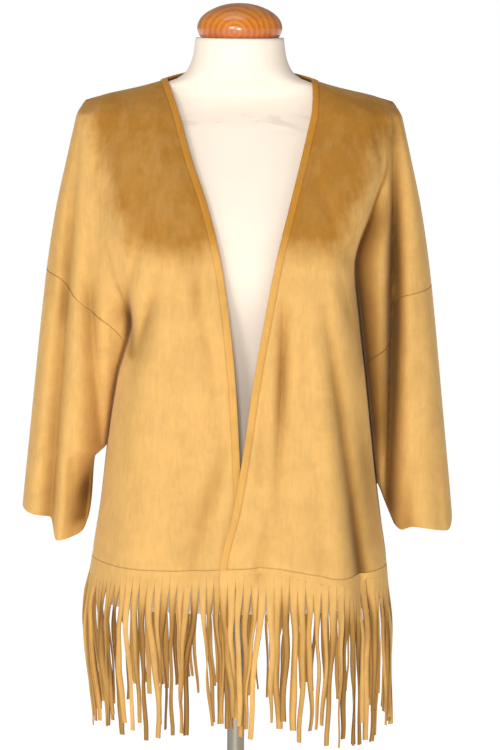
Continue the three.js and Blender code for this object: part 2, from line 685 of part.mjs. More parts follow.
// A fringe: an uncut strip under the hem whose lower edge carries the strands.
function fringe(outline, count, seed) {
  const sheet = new Sheet();
  const stripZ = HEM_Z - STRIP_HEIGHT;
  const pitch = 1 / count;
  const sway = (k, n) => {
    const place = k + seed;
    return Math.sin(12.9898 * place + 78.233 * n) * 0.5 + Math.sin(3.7 * place * n) * 0.5;
  };
  const top = [];
  const low = [];
  for (let k = 0; k < count; k++) {
    for (const share of [0.14, 0.86]) {
      const u = (k + share) * pitch;
      top.push(sheet.add(...outline(u, HEM_Z), u));
      low.push(sheet.add(...outline(u, stripZ), u));
    }
  }
  sheet.join(top, low);
  for (let k = 0; k < count; k++) {
    let above = [low[2 * k], low[2 * k + 1]];
    const end = FRINGE_END_Z + 4 * sway(k, 5);
    for (const step of [1, 2]) {
      const z = lerp(stripZ, end, step / 2);
      const [middle, normal] = outline((k + 0.5) * pitch, z);
      const along = new THREE.Vector3(-normal.y, normal.x, 0).normalize();
      const shift = along.clone().multiplyScalar(0.55 * step * sway(k, 2 * step));
      shift.addScaledVector(normal, 1.3 * step * sway(k, 7));
      const turn = 0.45 * sway(k, 3 + step);
      const wide = along.clone().multiplyScalar(Math.cos(turn)).addScaledVector(normal, Math.sin(turn));
      const faceOut = normal.clone().multiplyScalar(Math.cos(turn)).addScaledVector(along, -Math.sin(turn));
      const sideWay = Math.sign(wide.dot(sheet.points[above[1].id].clone().sub(sheet.points[above[0].id])));
      const row = [-2.8, 2.8].map((reach, j) =>
        sheet.add(middle.clone().add(shift).addScaledVector(wide, sideWay * reach), faceOut.clone(), j),
      );
      above.forEach((p, j) => (above[j] = { id: p.id, place: j }));
      sheet.join(above, row);
      above = row;
    }
  }
  return sheet.wall(CLOTH);
}
// Points along a hem: evenly spaced by distance, from anchor number a to b.
function hemOutline(side, a, b) {
  const steps = 160;
  const length = [0];
  for (let i = 1; i <= steps; i++) {
    const last = clothPoint(side, HEM_Z, lerp(a, b, (i - 1) / steps));
    const step = clothPoint(side, HEM_Z, lerp(a, b, i / steps)).distanceTo(last);
    length.push(length[i - 1] + step);
  }
  return (u, z) => {
    const goal = u * length[steps];
    const i = Math.max(1, length.findIndex((l) => l >= goal - 1e-9));
    const index = lerp(a, b, (i - 1 + (goal - length[i - 1]) / (length[i] - length[i - 1])) / steps);
    return [clothPoint(side, z, index), clothNormal(side, z, index)];
  };
}
function frontFringe(side) {
  const outline = hemOutline(side, 0, INDEX.crease);
  return fringe(outline, side === "right" ? 34 : 35, side === "right" ? 3 : 11);
}
function backFringe() {
  const right = hemOutline("right", INDEX.backCrease, INDEX.centreBack);
  const left = hemOutline("left", INDEX.centreBack, INDEX.backCrease);
  return fringe((u, z) => (u < 0.5 ? right(2 * u, z) : left(2 * u - 1, z)), 62, 29);
}

// The dress form: closed sections from the bottom to the top of the neck.
const FORM = [
  { z: 772, half: 163, front: 103, back: 106, middle: 0, power: 2.3, tilt: 0 },
  { z: 830, half: 166, front: 108, back: 108, middle: 0, power: 2.3, tilt: 0 },
  { z: 900, half: 156, front: 104, back: 100, middle: 0, power: 2.3, tilt: 0 },
  { z: 1015, half: 118, front: 86, back: 80, middle: 0, power: 2.2, tilt: 0 },
  { z: 1100, half: 120, front: 96, back: 84, middle: 0, power: 2.2, tilt: 0 },
  { z: 1190, half: 140, front: 112, back: 88, middle: 0, power: 2.2, tilt: 0 },
  { z: 1250, half: 150, front: 102, back: 88, middle: 0, power: 2.2, tilt: 0 },
  { z: 1300, half: 160, front: 82, back: 84, middle: 0, power: 2.2, tilt: 0 },
  { z: 1340, half: 174, front: 60, back: 74, middle: 0, power: 2, tilt: 0 },
  { z: 1370, half: 184, front: 42, back: 60, middle: 0, power: 1.8, tilt: 0 },
  { z: 1394.8, half: 182, front: 26, back: 44, middle: 2, power: 1.5, tilt: 0 },
  { z: 1407, half: 160, front: 22, back: 40, middle: 3, power: 1.5, tilt: 0 },
  { z: 1416.2, half: 128, front: 26, back: 38, middle: 4, power: 1.6, tilt: 0 },
  { z: 1422.4, half: 100, front: 34, back: 38, middle: 5, power: 1.8, tilt: 0 },
  { z: 1429.2, half: 78, front: 42, back: 42, middle: 6, power: 1.9, tilt: 0 },
  { z: 1440, half: 65, front: 48, back: 46, middle: 7, power: 2, tilt: 0.5 },
  { z: 1458, half: 58, front: 50, back: 48, middle: 7, power: 2, tilt: 1 },
  { z: 1480, half: 55, front: 52, back: 50, middle: 7, power: 2, tilt: 1.5 },
];
const FORM_AROUND = 32;
// One turn of the form at a level; the tilt lowers its front edge.
function formRing(z, around) {
  const value = (key) => at(FORM, key, z);
  const place = [];
  for (let k = 0; k < around; k++) {
    const turn = (2 * Math.PI * k) / around;
    const [c, s] = [Math.cos(turn), Math.sin(turn)];
    const power = 2 / value("power");
    const y = Math.sign(s) * Math.abs(s) ** power * (s < 0 ? value("front") : value("back"));
    const x = Math.sign(c) * Math.abs(c) ** power * value("half");
    place.push([x, y + value("middle"), z + (value("tilt") * y) / 50]);
  }
  return place;
}
// A solid of rings joined from bottom to top, closed by a point at each end.
function ringed(rings) {
  const around = rings[0].length;
  const mean = (ring) => ring.reduce((sum, p) => sum.map((v, k) => v + p[k] / around), [0, 0, 0]);
  const place = [...rings.flat(), mean(rings[0]), mean(rings[rings.length - 1])].flat();
  const bottom = rings.length * around;
  const faces = [];
  for (let r = 0; r < rings.length; r++) {
    for (let k = 0; k < around; k++) {
      const next = (k + 1) % around;
      const [a, b] = [r * around + k, r * around + next];
      if (r < rings.length - 1) faces.push(a, b, b + around, a, b + around, a + around);
      if (r === 0) faces.push(bottom, b, a);
      if (r === rings.length - 1) faces.push(bottom + 1, a, b);
    }
  }
  return closedGeometry(place, faces);
}
const POLE_TOP = 840; // the pole runs up into a socket in the form
function formTorso() {
  const rings = FORM.map((row) => formRing(row.z, FORM_AROUND));
  const round = (radius, z) =>
    Array.from({ length: FORM_AROUND }, (_, k) => {
      const turn = (2 * Math.PI * k) / FORM_AROUND;
      return [radius * Math.cos(turn), radius * Math.sin(turn), z];
    });
  const socket = POLE_RADIUS + 0.4;
  return ringed([round(socket, POLE_TOP + 0.4), round(socket, FORM[0].z), ...rings]);
}

// The turned neck cap: a low dome on the tilted top of the neck. out is its radius, up its height.
const NECK_CAP = [
  { up: 0.4, out: 48.5 },
  { up: 3, out: 50.6 },
  { up: 9, out: 52.8 },
  { up: 15, out: 52.8 },
  { up: 21, out: 50.8 },
  { up: 27, out: 46.4 },
  { up: 33, out: 38.6 },
  { up: 38, out: 28.4 },
  { up: 41.5, out: 16.5 },
  { up: 43, out: 5 },
];
function neckCap() {
  const rings = NECK_CAP.map(({ up, out }) =>
    Array.from({ length: 32 }, (_, k) => {
      const turn = (2 * Math.PI * k) / 32;
      const y = out * Math.sin(turn);
      return [out * Math.cos(turn), y + 8 - 0.03 * up, 1480 + up + 0.03 * y];
    }),
  );
  return ringed(rings);
}
const turnedSolid = (profile, around) =>
  ringed(
    profile.map(({ z, out }) =>
      Array.from({ length: around }, (_, k) => {
        const turn = (2 * Math.PI * k) / around;
        return [out * Math.cos(turn), out * Math.sin(turn), z];
      }),
    ),
  );
const BASE = [
  { z: 0, out: BASE_RADIUS },
  { z: 8, out: BASE_RADIUS },
  { z: 13, out: BASE_RADIUS - 5 },
];
const COLLAR = [
  { z: 13.4, out: 34 },
  { z: 20, out: 34 },
  { z: 46, out: 24 },
  { z: 52, out: 17 },
];
const COLLAR_TOP = COLLAR[COLLAR.length - 1].z;

const COLOURS = {
  cloth: 0xd9a25a,
  band: 0xcf9347,
  form: 0xfbf3e2,
  wood: 0xd98a3a,
  chrome: 0xb9bcc0,
  base: 0xc4c6ca,
};
const FINISH = {
  cloth: [0.9, 0],
  band: [0.85, 0],
  form: [0.8, 0],
  wood: [0.25, 0],
  chrome: [0.15, 1],
  base: [0.3, 1],
};
const POLE = [
  { z: COLLAR_TOP + 0.4, out: POLE_RADIUS },
  { z: POLE_TOP, out: POLE_RADIUS },
];
const group = new THREE.Group();
function node(name, geometry, colour) {
  const [roughness, metalness] = FINISH[colour];
  const material = new THREE.MeshStandardMaterial({ color: COLOURS[colour], roughness, metalness, name: colour });
  const mesh = new THREE.Mesh(geometry, material);
  mesh.name = name;
  group.add(mesh);
}
node("front_right", frontPanel("right"), "cloth");
node("front_left", frontPanel("left"), "cloth");
node("back", backPanel(), "cloth");
node("sleeve_right", sleeve("right"), "cloth");
node("sleeve_left", sleeve("left"), "cloth");
node("band", band(), "band");
node("fringe_front_right", frontFringe("right"), "cloth");
node("fringe_front_left", frontFringe("left"), "cloth");
node("fringe_back", backFringe(), "cloth");
node("form_torso", formTorso(), "form");
node("neck_cap", neckCap(), "wood");
node("stand_pole", turnedSolid(POLE, 24), "chrome");
node("stand_collar", turnedSolid(COLLAR, 32), "base");
node("stand_base", turnedSolid(BASE, 40), "base");

export default group;
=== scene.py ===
"""A fringed open-front jacket on a dress form: cloth, band, fringe, form, neck cap, stand and studio."""

import math

import bpy
import numpy as np
from bpy.props import FloatProperty, FloatVectorProperty, IntProperty, PointerProperty
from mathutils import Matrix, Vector


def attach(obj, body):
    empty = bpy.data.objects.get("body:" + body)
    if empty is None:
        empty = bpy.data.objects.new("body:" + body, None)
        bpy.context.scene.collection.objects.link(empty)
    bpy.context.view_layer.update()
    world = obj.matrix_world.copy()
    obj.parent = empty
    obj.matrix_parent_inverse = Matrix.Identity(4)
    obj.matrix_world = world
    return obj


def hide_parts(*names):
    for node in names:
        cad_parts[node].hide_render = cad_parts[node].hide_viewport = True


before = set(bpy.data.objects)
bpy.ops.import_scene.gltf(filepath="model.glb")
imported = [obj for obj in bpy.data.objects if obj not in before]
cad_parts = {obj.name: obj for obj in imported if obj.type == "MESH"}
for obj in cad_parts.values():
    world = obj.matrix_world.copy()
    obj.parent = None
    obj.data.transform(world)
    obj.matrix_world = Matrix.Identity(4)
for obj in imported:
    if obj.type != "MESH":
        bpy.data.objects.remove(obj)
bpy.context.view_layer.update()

bl_info = {
    "name": "Fringed jacket on a dress form",
    "version": (1, 0, 0),
    "blender": (4, 5, 0),
    "location": "View3D > Sidebar > Jacket",
    "description": "Makes a fringed open-front jacket on a dress form, with its studio",
    "category": "Mesh",
}

# Sizes are in millimetres here and become metres when a mesh is made.
# X is measured outwards from the middle.
BAND_WIDTH = 8.0
HEM_Z = 830.0
STRIP_HEIGHT = 17.0
FRINGE_END_Z = 640.0
CAP_Z = 1380.0
EDGE, CREASE, OUTER, BACK_CREASE, CENTRE = 0, 5, 9, 13, 18
NECK_INDEX = 16.3
LAP_DEPTH = 7.0
SIGN = {"right": -1.0, "left": 1.0}
UNDERARM = {"right": 974.0, "left": 926.0}
NECK_POINT = np.array([90.0, 5.0, 1429.0])
SHOULDER_TIP = np.array([191.0, 1.0, 1402.0])
NECK_BACK = (62.0, 1443.0)

BODY = {
    "z": (1380, 1330, 1270, 1200, 1130, 1060, 980, 900, 830, 640),
    "edge_right": (73, 58, 37, 20, 10, 3, -2, -6, -9, -7),
    "edge_left": (89, 77, 62, 45, 32, 20, 9, -4, -19, -25),
    "edge_depth": (50, 79, 107, 128, 137, 141, 144, 148, 151, 152),
    "front": (60, 88, 114, 133, 140, 143, 147, 152, 157, 157),
    "back": (78, 95, 104, 108, 106, 106, 110, 116, 122, 124),
}
SIDES = {
    "right": {
        "z": (1380, 1330, 1270, 1200, 1130, 1060, 974, 900, 830, 760, 640),
        "side": (152, 160, 158, 146, 130, 147, 160, 168, 178, 186, 176),
        "crease": (46, 66, 86, 92, 52, 30, 1.4, 0, 0, 0, 0),
        "back_crease": (58, 72, 76, 66, 48, 28, 1.4, 0, 0, 0, 0),
        "sharp": (0, 0, 0, 0.15, 0.9, 1, 1, 1, 1, 1, 1),
    },
    "left": {
        "z": (1380, 1330, 1270, 1200, 1130, 1060, 926, 880, 830, 760, 640),
        "side": (172, 176, 161, 142, 149, 157, 172, 178, 185, 189, 189),
        "crease": (42, 50, 50, 44, 36, 26, 1.4, 0, 0, 0, 0),
        "back_crease": (54, 66, 66, 54, 40, 28, 1.4, 0, 0, 0, 0),
        "sharp": (0, 0.5, 0.9, 1, 1, 1, 1, 1, 1, 1, 1),
    },
}
SLEEVE = {
    "z": (1380, 1330, 1270, 1200, 1130, 1060, 980, 900, 850),
    "outer": (203, 214, 227, 238, 246, 253, 261, 269, 273),
    "front": (38, 52, 62, 68, 70, 68, 62, 56, 54),
    "back": (44, 54, 60, 62, 62, 60, 56, 52, 50),
}
INNER = {
    "right": {"z": (974, 970, 955, 900, 850), "inner": (163, 165.5, 180, 184, 190)},
    "left": {"z": (926, 922, 900, 850), "inner": (175, 178, 187, 208)},
}
SEAM = {
    "right": {"z": (1194, 1182, 1150, 1122, 1085, 974), "share": (1, 0.72, 0.56, 0.36, 0.15, 0.09)},
    "left": {"z": (1176, 1160, 1104, 1060, 926), "share": (1, 0.58, 0.46, 0.09, 0.09)},
}
CUFF = {
    "right": {
        "z": (5, 5.5, 6, 6.67, 7, 7.33, 8, 9, 11, 12.2, 13),
        "height": (930, 884, 865, 857, 855, 882, 887, 894, 882, 872, 930),
    },
    "left": {"z": (5, 6, 6.8, 8.1, 9, 11, 13), "height": (877, 868, 875, 869, 885, 874, 877)},
}
# Folds and creases: side, face (-1 front), x and z of the top, x and z of the bottom, half widths on the
# inner and outer side, and depths at the top, middle and bottom.
# Their depths also set how dark the painted shade in the folds is.
FOLDS = (
    ("right", -1, 197, 1372, 232, 880, 8, 16, 5, 17, 22),
    ("right", -1, 186, 1230, 172, 985, 10, 12, 4, 13, 10),
    ("right", -1, 92, 1205, 134, 1050, 15, 11, 3, 9, 3),
    ("right", -1, 42, 1225, 56, 1120, 8, 9, 2, 4, 1),
    ("right", -1, 20, 990, 52, 835, 12, 16, 2, 7, 5),
    ("left", -1, 192, 1376, 190, 915, 9, 15, 9, 30, 18),
    ("left", -1, 58, 1215, 50, 930, 9, 11, 2, 11, 4),
    ("left", -1, 100, 1195, 152, 825, 11, 17, 2, 12, 18),
    ("left", -1, 124, 1195, 146, 1100, 7, 7, 2, 6, 2),
    ("left", -1, 42, 910, 28, 830, 11, 13, 1, 5, 5),
    ("right", 1, 60, 1290, 72, 826, 18, 22, 1, 8, 14),
    ("right", 1, 112, 1240, 128, 826, 14, 18, 1, 10, 15),
    ("left", 1, 48, 1270, 54, 826, 18, 20, 1, 7, 13),
    ("left", 1, 104, 1250, 124, 826, 15, 19, 1, 11, 16),
    ("right", 1, 196, 1360, 222, 890, 13, 13, 4, 15, 17),
    ("left", 1, 194, 1360, 224, 890, 12, 14, 5, 17, 15),
)
# Soft creases that lie on the main folds, in the same columns.
# Their depths also deepen the painted shade.
CREASES = (
    ("right", -1, 172, 1290, 178, 1120, 7, 9, 0.5, 2.2, 1.2),
    ("right", -1, 140, 1225, 152, 1100, 8, 9, 0.4, 2.4, 1.0),
    ("right", -1, 66, 1240, 80, 1120, 6, 8, 0.6, 1.8, 0.4),
    ("right", -1, 30, 1240, 34, 1150, 4, 5, 0.4, 1.4, 0.3),
    ("right", -1, 104, 1080, 122, 900, 9, 12, 0.4, 1.8, 1.0),
    ("right", -1, 150, 1060, 128, 930, 8, 10, 0.4, 2.0, 0.5),
    ("right", -1, 60, 1060, 66, 870, 14, 16, 0.3, 1.5, 1.2),
    ("right", -1, 12, 1010, 30, 880, 6, 8, 0.4, 2.2, 1.0),
    ("right", -1, 248, 1190, 256, 900, 7, 8, 0.3, 1.6, 1.8),
    ("right", -1, 212, 1140, 204, 880, 7, 9, 0.5, 2.6, 2.2),
    ("left", -1, 82, 1330, 128, 1225, 8, 9, 0.5, 1.8, 0.6),
    ("left", -1, 78, 1170, 84, 990, 7, 9, 0.5, 2.2, 0.6),
    ("left", -1, 36, 1080, 24, 900, 5, 7, 0.5, 2.6, 0.8),
    ("left", -1, 96, 980, 104, 840, 10, 12, 0.5, 1.8, 2.4),
    ("left", -1, 170, 1000, 176, 850, 7, 8, 0.4, 1.8, 1.6),
    ("left", -1, 218, 1300, 226, 1000, 9, 10, 0.3, 1.8, 0.6),
    ("left", -1, 240, 1080, 252, 890, 7, 8, 0.3, 1.6, 2.2),
    ("left", -1, 214, 960, 212, 880, 7, 8, 0.4, 2.4, 3.6),
    ("right", 1, 24, 1180, 30, 850, 12, 14, 0.3, 2.0, 2.4),
    ("right", 1, 92, 1330, 96, 1000, 10, 12, 0.3, 1.8, 1.0),
    ("right", 1, 150, 1120, 158, 840, 9, 10, 0.3, 2.0, 2.0),
    ("left", 1, 26, 1120, 24, 840, 12, 13, 0.3, 1.6, 2.6),
    ("left", 1, 82, 1340, 80, 960, 10, 12, 0.3, 2.0, 1.0),
    ("left", 1, 150, 1080, 160, 840, 9, 10, 0.3, 1.8, 2.2),
    ("right", 1, 240, 1150, 250, 900, 9, 9, 0.3, 2.0, 2.0),
    ("left", 1, 242, 1120, 254, 900, 8, 9, 0.3, 2.2, 1.8),
    ("right", -1, 183, 950, 193, 884, 9, 11, 4, 11, 8),
    ("right", -1, 112, 1262, 138, 1150, 9, 7, 0.4, 3.6, 3.0),
    ("right", -1, 134, 1168, 130, 1100, 5, 7, 2, 9, 5),
    ("right", -1, 224, 1310, 232, 1170, 6, 9, 0.6, 2.4, 3.0),
    ("left", -1, 138, 1215, 152, 1090, 6, 8, 1.5, 5, 5),
    ("left", -1, 150, 1020, 168, 880, 8, 10, 2, 5, 3),
    ("right", -1, 60, 1235, 16, 990, 6, 9, 0.4, 3.0, 1.0),
)
# How far the hem hangs above or below its level across the front and back, by place across.
DRAPE = {
    "z": (-190, -150, -60, 0, 40, 70, 101, 126, 151, 186),
    "front": (9, 6, 4, 7, 9, 5, -1, -6, -5, -1),
    "back": (4, 0, 2, 0, -2, 0, 3, 0, -3, -2),
}
# How dark the painted shade is in the underarm crease, beside the body on the left sleeve and on the cloth's
# inner side, 0 to 1.
CREASE_SHADE = 0.8
SLEEVE_SIDE_SHADE = 0.85
INSIDE_SHADE = 0.55
STRAND_INSIDE_SHADE = 0.06
# Where the painted shade over the chest begins by height, how far from the middle it ends on each side
# at the bottom and top of the slanting border, and how soft that border is, all in metres.
CHEST_SHADE_START_Z = (1.198, 1.246)
CHEST_SHADE_SLANT_Z = (1.22, 1.40)
CHEST_SHADE_LEFT = (0.128, 0.196)
CHEST_SHADE_RIGHT = (0.146, 0.186)
CHEST_SHADE_SOFT = (-0.022, 0.026)
# Height of the faint line of painted shade on the form's jersey, in metres.
NECK_SHADE_Z = 1.378
# How the band's nap, its painted nap shade and the wood's grain differ from the chosen colours.
BAND_LIGHT = (0.95, 0.88, 0.72)
BAND_SHADED = (1.3, 1.27, 1.1)
WOOD_GRAIN = (0.55, 0.42, 0.4)


def step_up(a, b, t):
    """0 below a, 1 above b, and a smooth cubic rise between them."""
    s = np.clip((t - a) / (b - a), 0, 1)
    return s * s * (3 - 2 * s)


def mix(a, b, t):
    """A straight mix of a and b."""
    return a + (b - a) * t


def column(table, key, place):
    """A table's column at any place: cubics through its rows, their slopes the harmonic mean of the rises."""
    order = np.argsort(table["z"])
    x = np.array(table["z"], float)[order]
    y = np.array(table[key], float)[order]
    rise = np.diff(y) / np.diff(x)
    before, after = rise[:-1], rise[1:]
    same = before * after > 0
    inner = np.where(same, 2 * before * after / np.where(same, before + after, 1), 0)
    slope = np.concatenate([rise[:1], inner, rise[-1:]])
    place = np.clip(np.asarray(place, float), x[0], x[-1])
    i = np.clip(np.searchsorted(x, place, side="right") - 1, 0, len(x) - 2)
    h = x[i + 1] - x[i]
    t = (place - x[i]) / h
    cubic = mix(y[i], y[i + 1], t * t * (3 - 2 * t))
    return cubic + h * (t * (1 - t) ** 2 * slope[i] - t * t * (1 - t) * slope[i + 1])


def fold_depth(folds, side, face, x, z, narrow=1.0):
    """The sum of bell-shaped valleys, each along a slanting line, with its own widths and depths."""
    total = np.zeros_like(x)
    for fold_side, fold_face, xt, zt, xb, zb, near, far, top, middle, bottom in folds:
        if fold_side != side:
            continue
        t = (zt - z) / (zt - zb)
        fade = step_up(-0.12, 0.08, t) * (1 - step_up(1.0, 1.25, t))
        held = np.clip(t, 0, 1)
        depth = np.where(
            held < 0.5, mix(top, middle, step_up(0, 0.5, held)), mix(middle, bottom, step_up(0.5, 1, held))
        )
        away = x - mix(xt, xb, t)
        width = np.where(away < 0, near, far) * narrow
        total += np.where(face == fold_face, fade * depth * np.exp(-((away / width) ** 2)), 0)
    return total


def anchors(side, z):
    """Anchors of a half section by level: whole, body alone, sleeve alone, and the crease's sharpness."""
    below = z < UNDERARM[side]
    edge = column(BODY, "edge_" + side, z)
    lap = LAP_DEPTH * (1 - step_up(930, 1010, z)) if side == "left" else 0 * z
    flank = column(SIDES[side], "side", z)
    sharp = column(SIDES[side], "sharp", z)
    outer = column(SLEEVE, "outer", z)
    inner = np.where(below, column(INNER[side], "inner", z), flank + 3)

    def half(face):
        """The anchors of one face: the front at -1, the back at 1."""
        depth = column(BODY, "front" if face < 0 else "back", z)
        crease = column(SIDES[side], "crease" if face < 0 else "back_crease", z)
        arm = column(SLEEVE, "front" if face < 0 else "back", z)
        start = edge if face < 0 else 0 * z
        reach = flank - start

        def run(share):
            """A place between the start of the face and the side of the body."""
            return start + share * reach

        def sleeve_x(share):
            """A place between the sleeve's inner and outer lines."""
            return mix(inner, outer, share)

        def blend(x, creased_x, creased_y):
            """An anchor between the flat section and the creased one, by the sharpness."""
            flat = mix(depth * 0.93, arm, step_up(run(0.78), sleeve_x(0.42), x))
            return np.stack([mix(x, creased_x, sharp), face * mix(flat, creased_y, sharp)], -1)

        def at(x, y):
            """An anchor on this face."""
            return np.stack([x, face * y], -1)

        hung = depth - crease
        return {
            "middle": [at(run(0.36), depth), at(run(0.74), depth * 0.95)],
            "flank": [
                blend(flank - 16, flank - 3, crease + 0.5 * hung),
                blend(flank - 6, flank + 0.5, crease + 0.14 * hung),
            ],
            "crease": blend(flank + 4, flank + 3, crease),
            "arm": [
                blend(flank + 16, inner + 6, crease + 0.55 * (arm - crease)),
                at(sleeve_x(0.42), arm),
                at(sleeve_x(0.84), arm * 0.76),
            ],
        }

    front, back = half(-1), half(1)
    for p in front["middle"]:
        p[..., 1] -= lap * (1 - step_up(30, 110, p[..., 0]))

    def point(x, y):
        """Points from x and y."""
        return np.stack(np.broadcast_arrays(x, y), -1)

    first = [point(edge, -column(BODY, "edge_depth", z) - lap), *front["middle"], *front["flank"]]
    arm = [*front["arm"], point(outer, 6.0), *back["arm"][::-1]]
    centre = point(0 * z, column(BODY, "back", z))
    mirror = back["middle"][0] * [-1, 1]
    last = [*back["flank"][::-1], *back["middle"][::-1], centre, mirror]
    whole = [*first, front["crease"], *arm, back["crease"], *last]
    return whole, [*first, point(flank + 3, 0.0), *last], [point(inner, 0.0), *arm], sharp


def through(points, place, closed=False, bends=(), sharp=None):
    """Centripetal cubics through the anchors, at a place counted in anchors; at a bend they turn tightly."""
    p = np.stack(points, 1)
    n = p.shape[1]
    if closed:
        before, after = np.roll(p, 1, 1), np.roll(p, -1, 1)
    else:
        before = np.concatenate([p[:, :1], p[:, :-1]], 1)
        after = np.concatenate([p[:, 1:], p[:, -1:]], 1)

    def gap(a, b):
        """The square root of the distance between points, which makes the cubics centripetal."""
        return np.sqrt(np.linalg.norm(b - a, axis=-1, keepdims=True))

    g0, g1 = gap(before, p), gap(p, after)
    g0, g1 = np.where(g0 == 0, 1, g0), np.where(g1 == 0, 1, g1)
    slope = (p - before) / g0 - (after - before) / (g0 + g1) + (after - p) / g1
    arrive, leave = g0 * slope, g1 * slope
    for i, way in bends:
        turn = np.array([9.0 * way, 0.0])
        arrive[:, i] = mix(arrive[:, i], turn, sharp[:, None])
        leave[:, i] = mix(leave[:, i], turn, sharp[:, None])
    spans = n if closed else n - 1
    held = np.clip(place, 0, spans - 1e-9)
    i = held.astype(int)
    j = (i + 1) % n
    t = (held - i)[:, None]
    row = np.arange(len(place))
    curve = mix(p[row, i], p[row, j], t * t * (3 - 2 * t))
    return curve + t * (1 - t) ** 2 * leave[row, i] - t * t * (1 - t) * arrive[row, j]


def cloth_point(side, z, index, part="body", fine=True):
    """A point of the cloth: its level's section curve at an anchor number, pushed in by the folds."""
    z, index = np.broadcast_arrays(np.asarray(z, float), np.asarray(index, float))
    shape, z, index = z.shape, z.ravel(), index.ravel()
    whole, body, sleeve, sharp = anchors(side, z)
    xy = through(whole, index, bends=((CREASE, 1), (BACK_CREASE, -1)), sharp=sharp)
    below = z < UNDERARM[side]
    from_side = np.minimum(abs(index - CREASE), abs(index - BACK_CREASE))
    if part == "body":
        short = through(body, np.where(index > OUTER, index - (BACK_CREASE - CREASE), index))
    else:
        short = through(sleeve, index - CREASE, closed=True)
    fade = step_up(UNDERARM[side] - 26, UNDERARM[side], z) * step_up(0.1, 1.3, from_side) if fine else 0 * z
    xy = np.where(below[:, None], mix(short, xy, fade[:, None]), xy)
    face = np.where(index < OUTER, -1.0, 1.0)
    near = step_up(0, 0.9, abs(index - OUTER)) * (1 - step_up(17.4, 18, index))
    near = near * np.where(below, step_up(0, 0.9, from_side), 1)
    x, y = xy[:, 0], xy[:, 1]
    push = np.minimum(fold_depth(FOLDS, side, face, x, z), 0.55 * abs(y))
    if fine:
        sharper = 0.4 if side == "left" else mix(0.15, 0.32, step_up(1120, 1150, z))
        sharper = sharper * (1 - np.exp(-(((z - SEAM[side]["z"][0] + 6) / 16) ** 2)))
        sharper = sharper * fold_depth(FOLDS, side, face, x, z, 0.45)
        push = push + np.minimum(sharper, 0.14 * abs(y))
        push = push + 1.3 * fold_depth(CREASES, side, face, x, z) * step_up(8, 30, abs(y))
    out = np.stack([SIGN[side] * x, y - face * push * near, z], -1)
    return out.reshape(*shape, 3)


def cloth_normal(side, z, index, part="body"):
    """The cross product of a small step along the section and a small step down the cloth, at unit length."""
    z, index = np.broadcast_arrays(np.asarray(z, float), np.asarray(index, float))
    across = cloth_point(side, z, index + 0.03, part) - cloth_point(side, z, index - 0.03, part)
    down = cloth_point(side, z - 1.5, index, part) - cloth_point(side, z + 1.5, index, part)
    n = np.cross(across, down)
    return n / np.maximum(np.linalg.norm(n, axis=-1, keepdims=True), 1e-9)


def hem_drape(p):
    """The hem's own wave: a curve over the place across lifts or lowers the points near the hem."""
    x, y, z = p[..., 0], p[..., 1], p[..., 2]
    front = column(DRAPE, "front", x)
    rear = column(DRAPE, "back", x)
    share = (1 - step_up(838, 960, z)) * step_up(560, 640, z + 60)
    return np.stack([0 * x, 0 * x, share * mix(front, rear, step_up(-30, 30, y))], -1)


def painted_fold_shade(side, index, p):
    """Painted shade at a point, 0 to 1: the larger of the folds' depths and its nearness to the crease."""
    x, z = abs(p[..., 0]), p[..., 2]
    index = np.broadcast_to(index, x.shape)
    face = np.where(index < OUTER, -1.0, 1.0)
    deep = fold_depth(FOLDS, side, face, x, z) / 30 + fold_depth(FOLDS, side, face, x, z, 0.5) / 60
    deep = np.clip(deep + fold_depth(CREASES, side, face, x, z) / 12, 0, 1)
    beside = np.minimum(abs(index - CREASE - 0.3), abs(index - BACK_CREASE + 0.3))
    strength = CREASE_SHADE if side == "left" else CREASE_SHADE - 0.45 * (1 - step_up(1090, 1150, z))
    crease = strength * column(SIDES[side], "sharp", z) * np.exp(-((beside / 0.5) ** 2))
    crease = crease * (z > UNDERARM[side] - 60)
    if side == "right":
        lit = mix(step_up(204, 216, x), step_up(140, 160, x), step_up(930, 965, z))
        deep = deep * (1 - lit * mix(0.5, 0.3, step_up(1110, 1150, z)))
    # On the left, painted shadow over the sleeve beside the body, darkest next to the body's side.
    if side == "left":
        flank = column(SIDES[side], "side", z)
        sleeve_shadow = SLEEVE_SIDE_SHADE * (1 - step_up(6, 50, x - flank))
        sleeve_shadow = sleeve_shadow * step_up(905, 1010, z) * (1 - step_up(1240, 1320, z))
        crease = np.maximum(crease, np.where((index > CREASE) & (index < OUTER), sleeve_shadow, 0))
    return np.maximum(deep, crease)


def seam_index(side, z):
    """The anchor number where the body ends and the sleeve begins."""
    share = column(SEAM[side], "share", z)
    index = mix(CREASE, OUTER, share)
    index = np.where(z >= SEAM[side]["z"][0], OUTER, index)
    return np.where(z < UNDERARM[side], CREASE, index)


def band_index(side, z):
    """The anchor number at the band's width from the front edge, by halving the range again and again."""
    z = np.asarray(z, float)
    low, high = np.zeros_like(z), np.full_like(z, 1.5)
    edge = cloth_point(side, z, 0 * z)
    for _ in range(22):
        middle = (low + high) / 2
        short = np.linalg.norm(cloth_point(side, z, middle) - edge, axis=-1) < BAND_WIDTH
        low, high = np.where(short, middle, low), np.where(short, high, middle)
    return low


SHOULDER = np.linalg.norm(NECK_POINT - SHOULDER_TIP)


def shoulder_line(side, share):
    """A straight line from the neck point to the shoulder tip with a shallow dip, as points."""
    share = np.asarray(share, float)[..., None]
    p = mix(NECK_POINT, SHOULDER_TIP, share)
    dip = 3 * np.sin(np.pi * share) * (1 - 1.6 * share)
    p = p - dip * np.array([0, 0, 1.0])
    return p * np.array([SIGN[side], 1, 1])


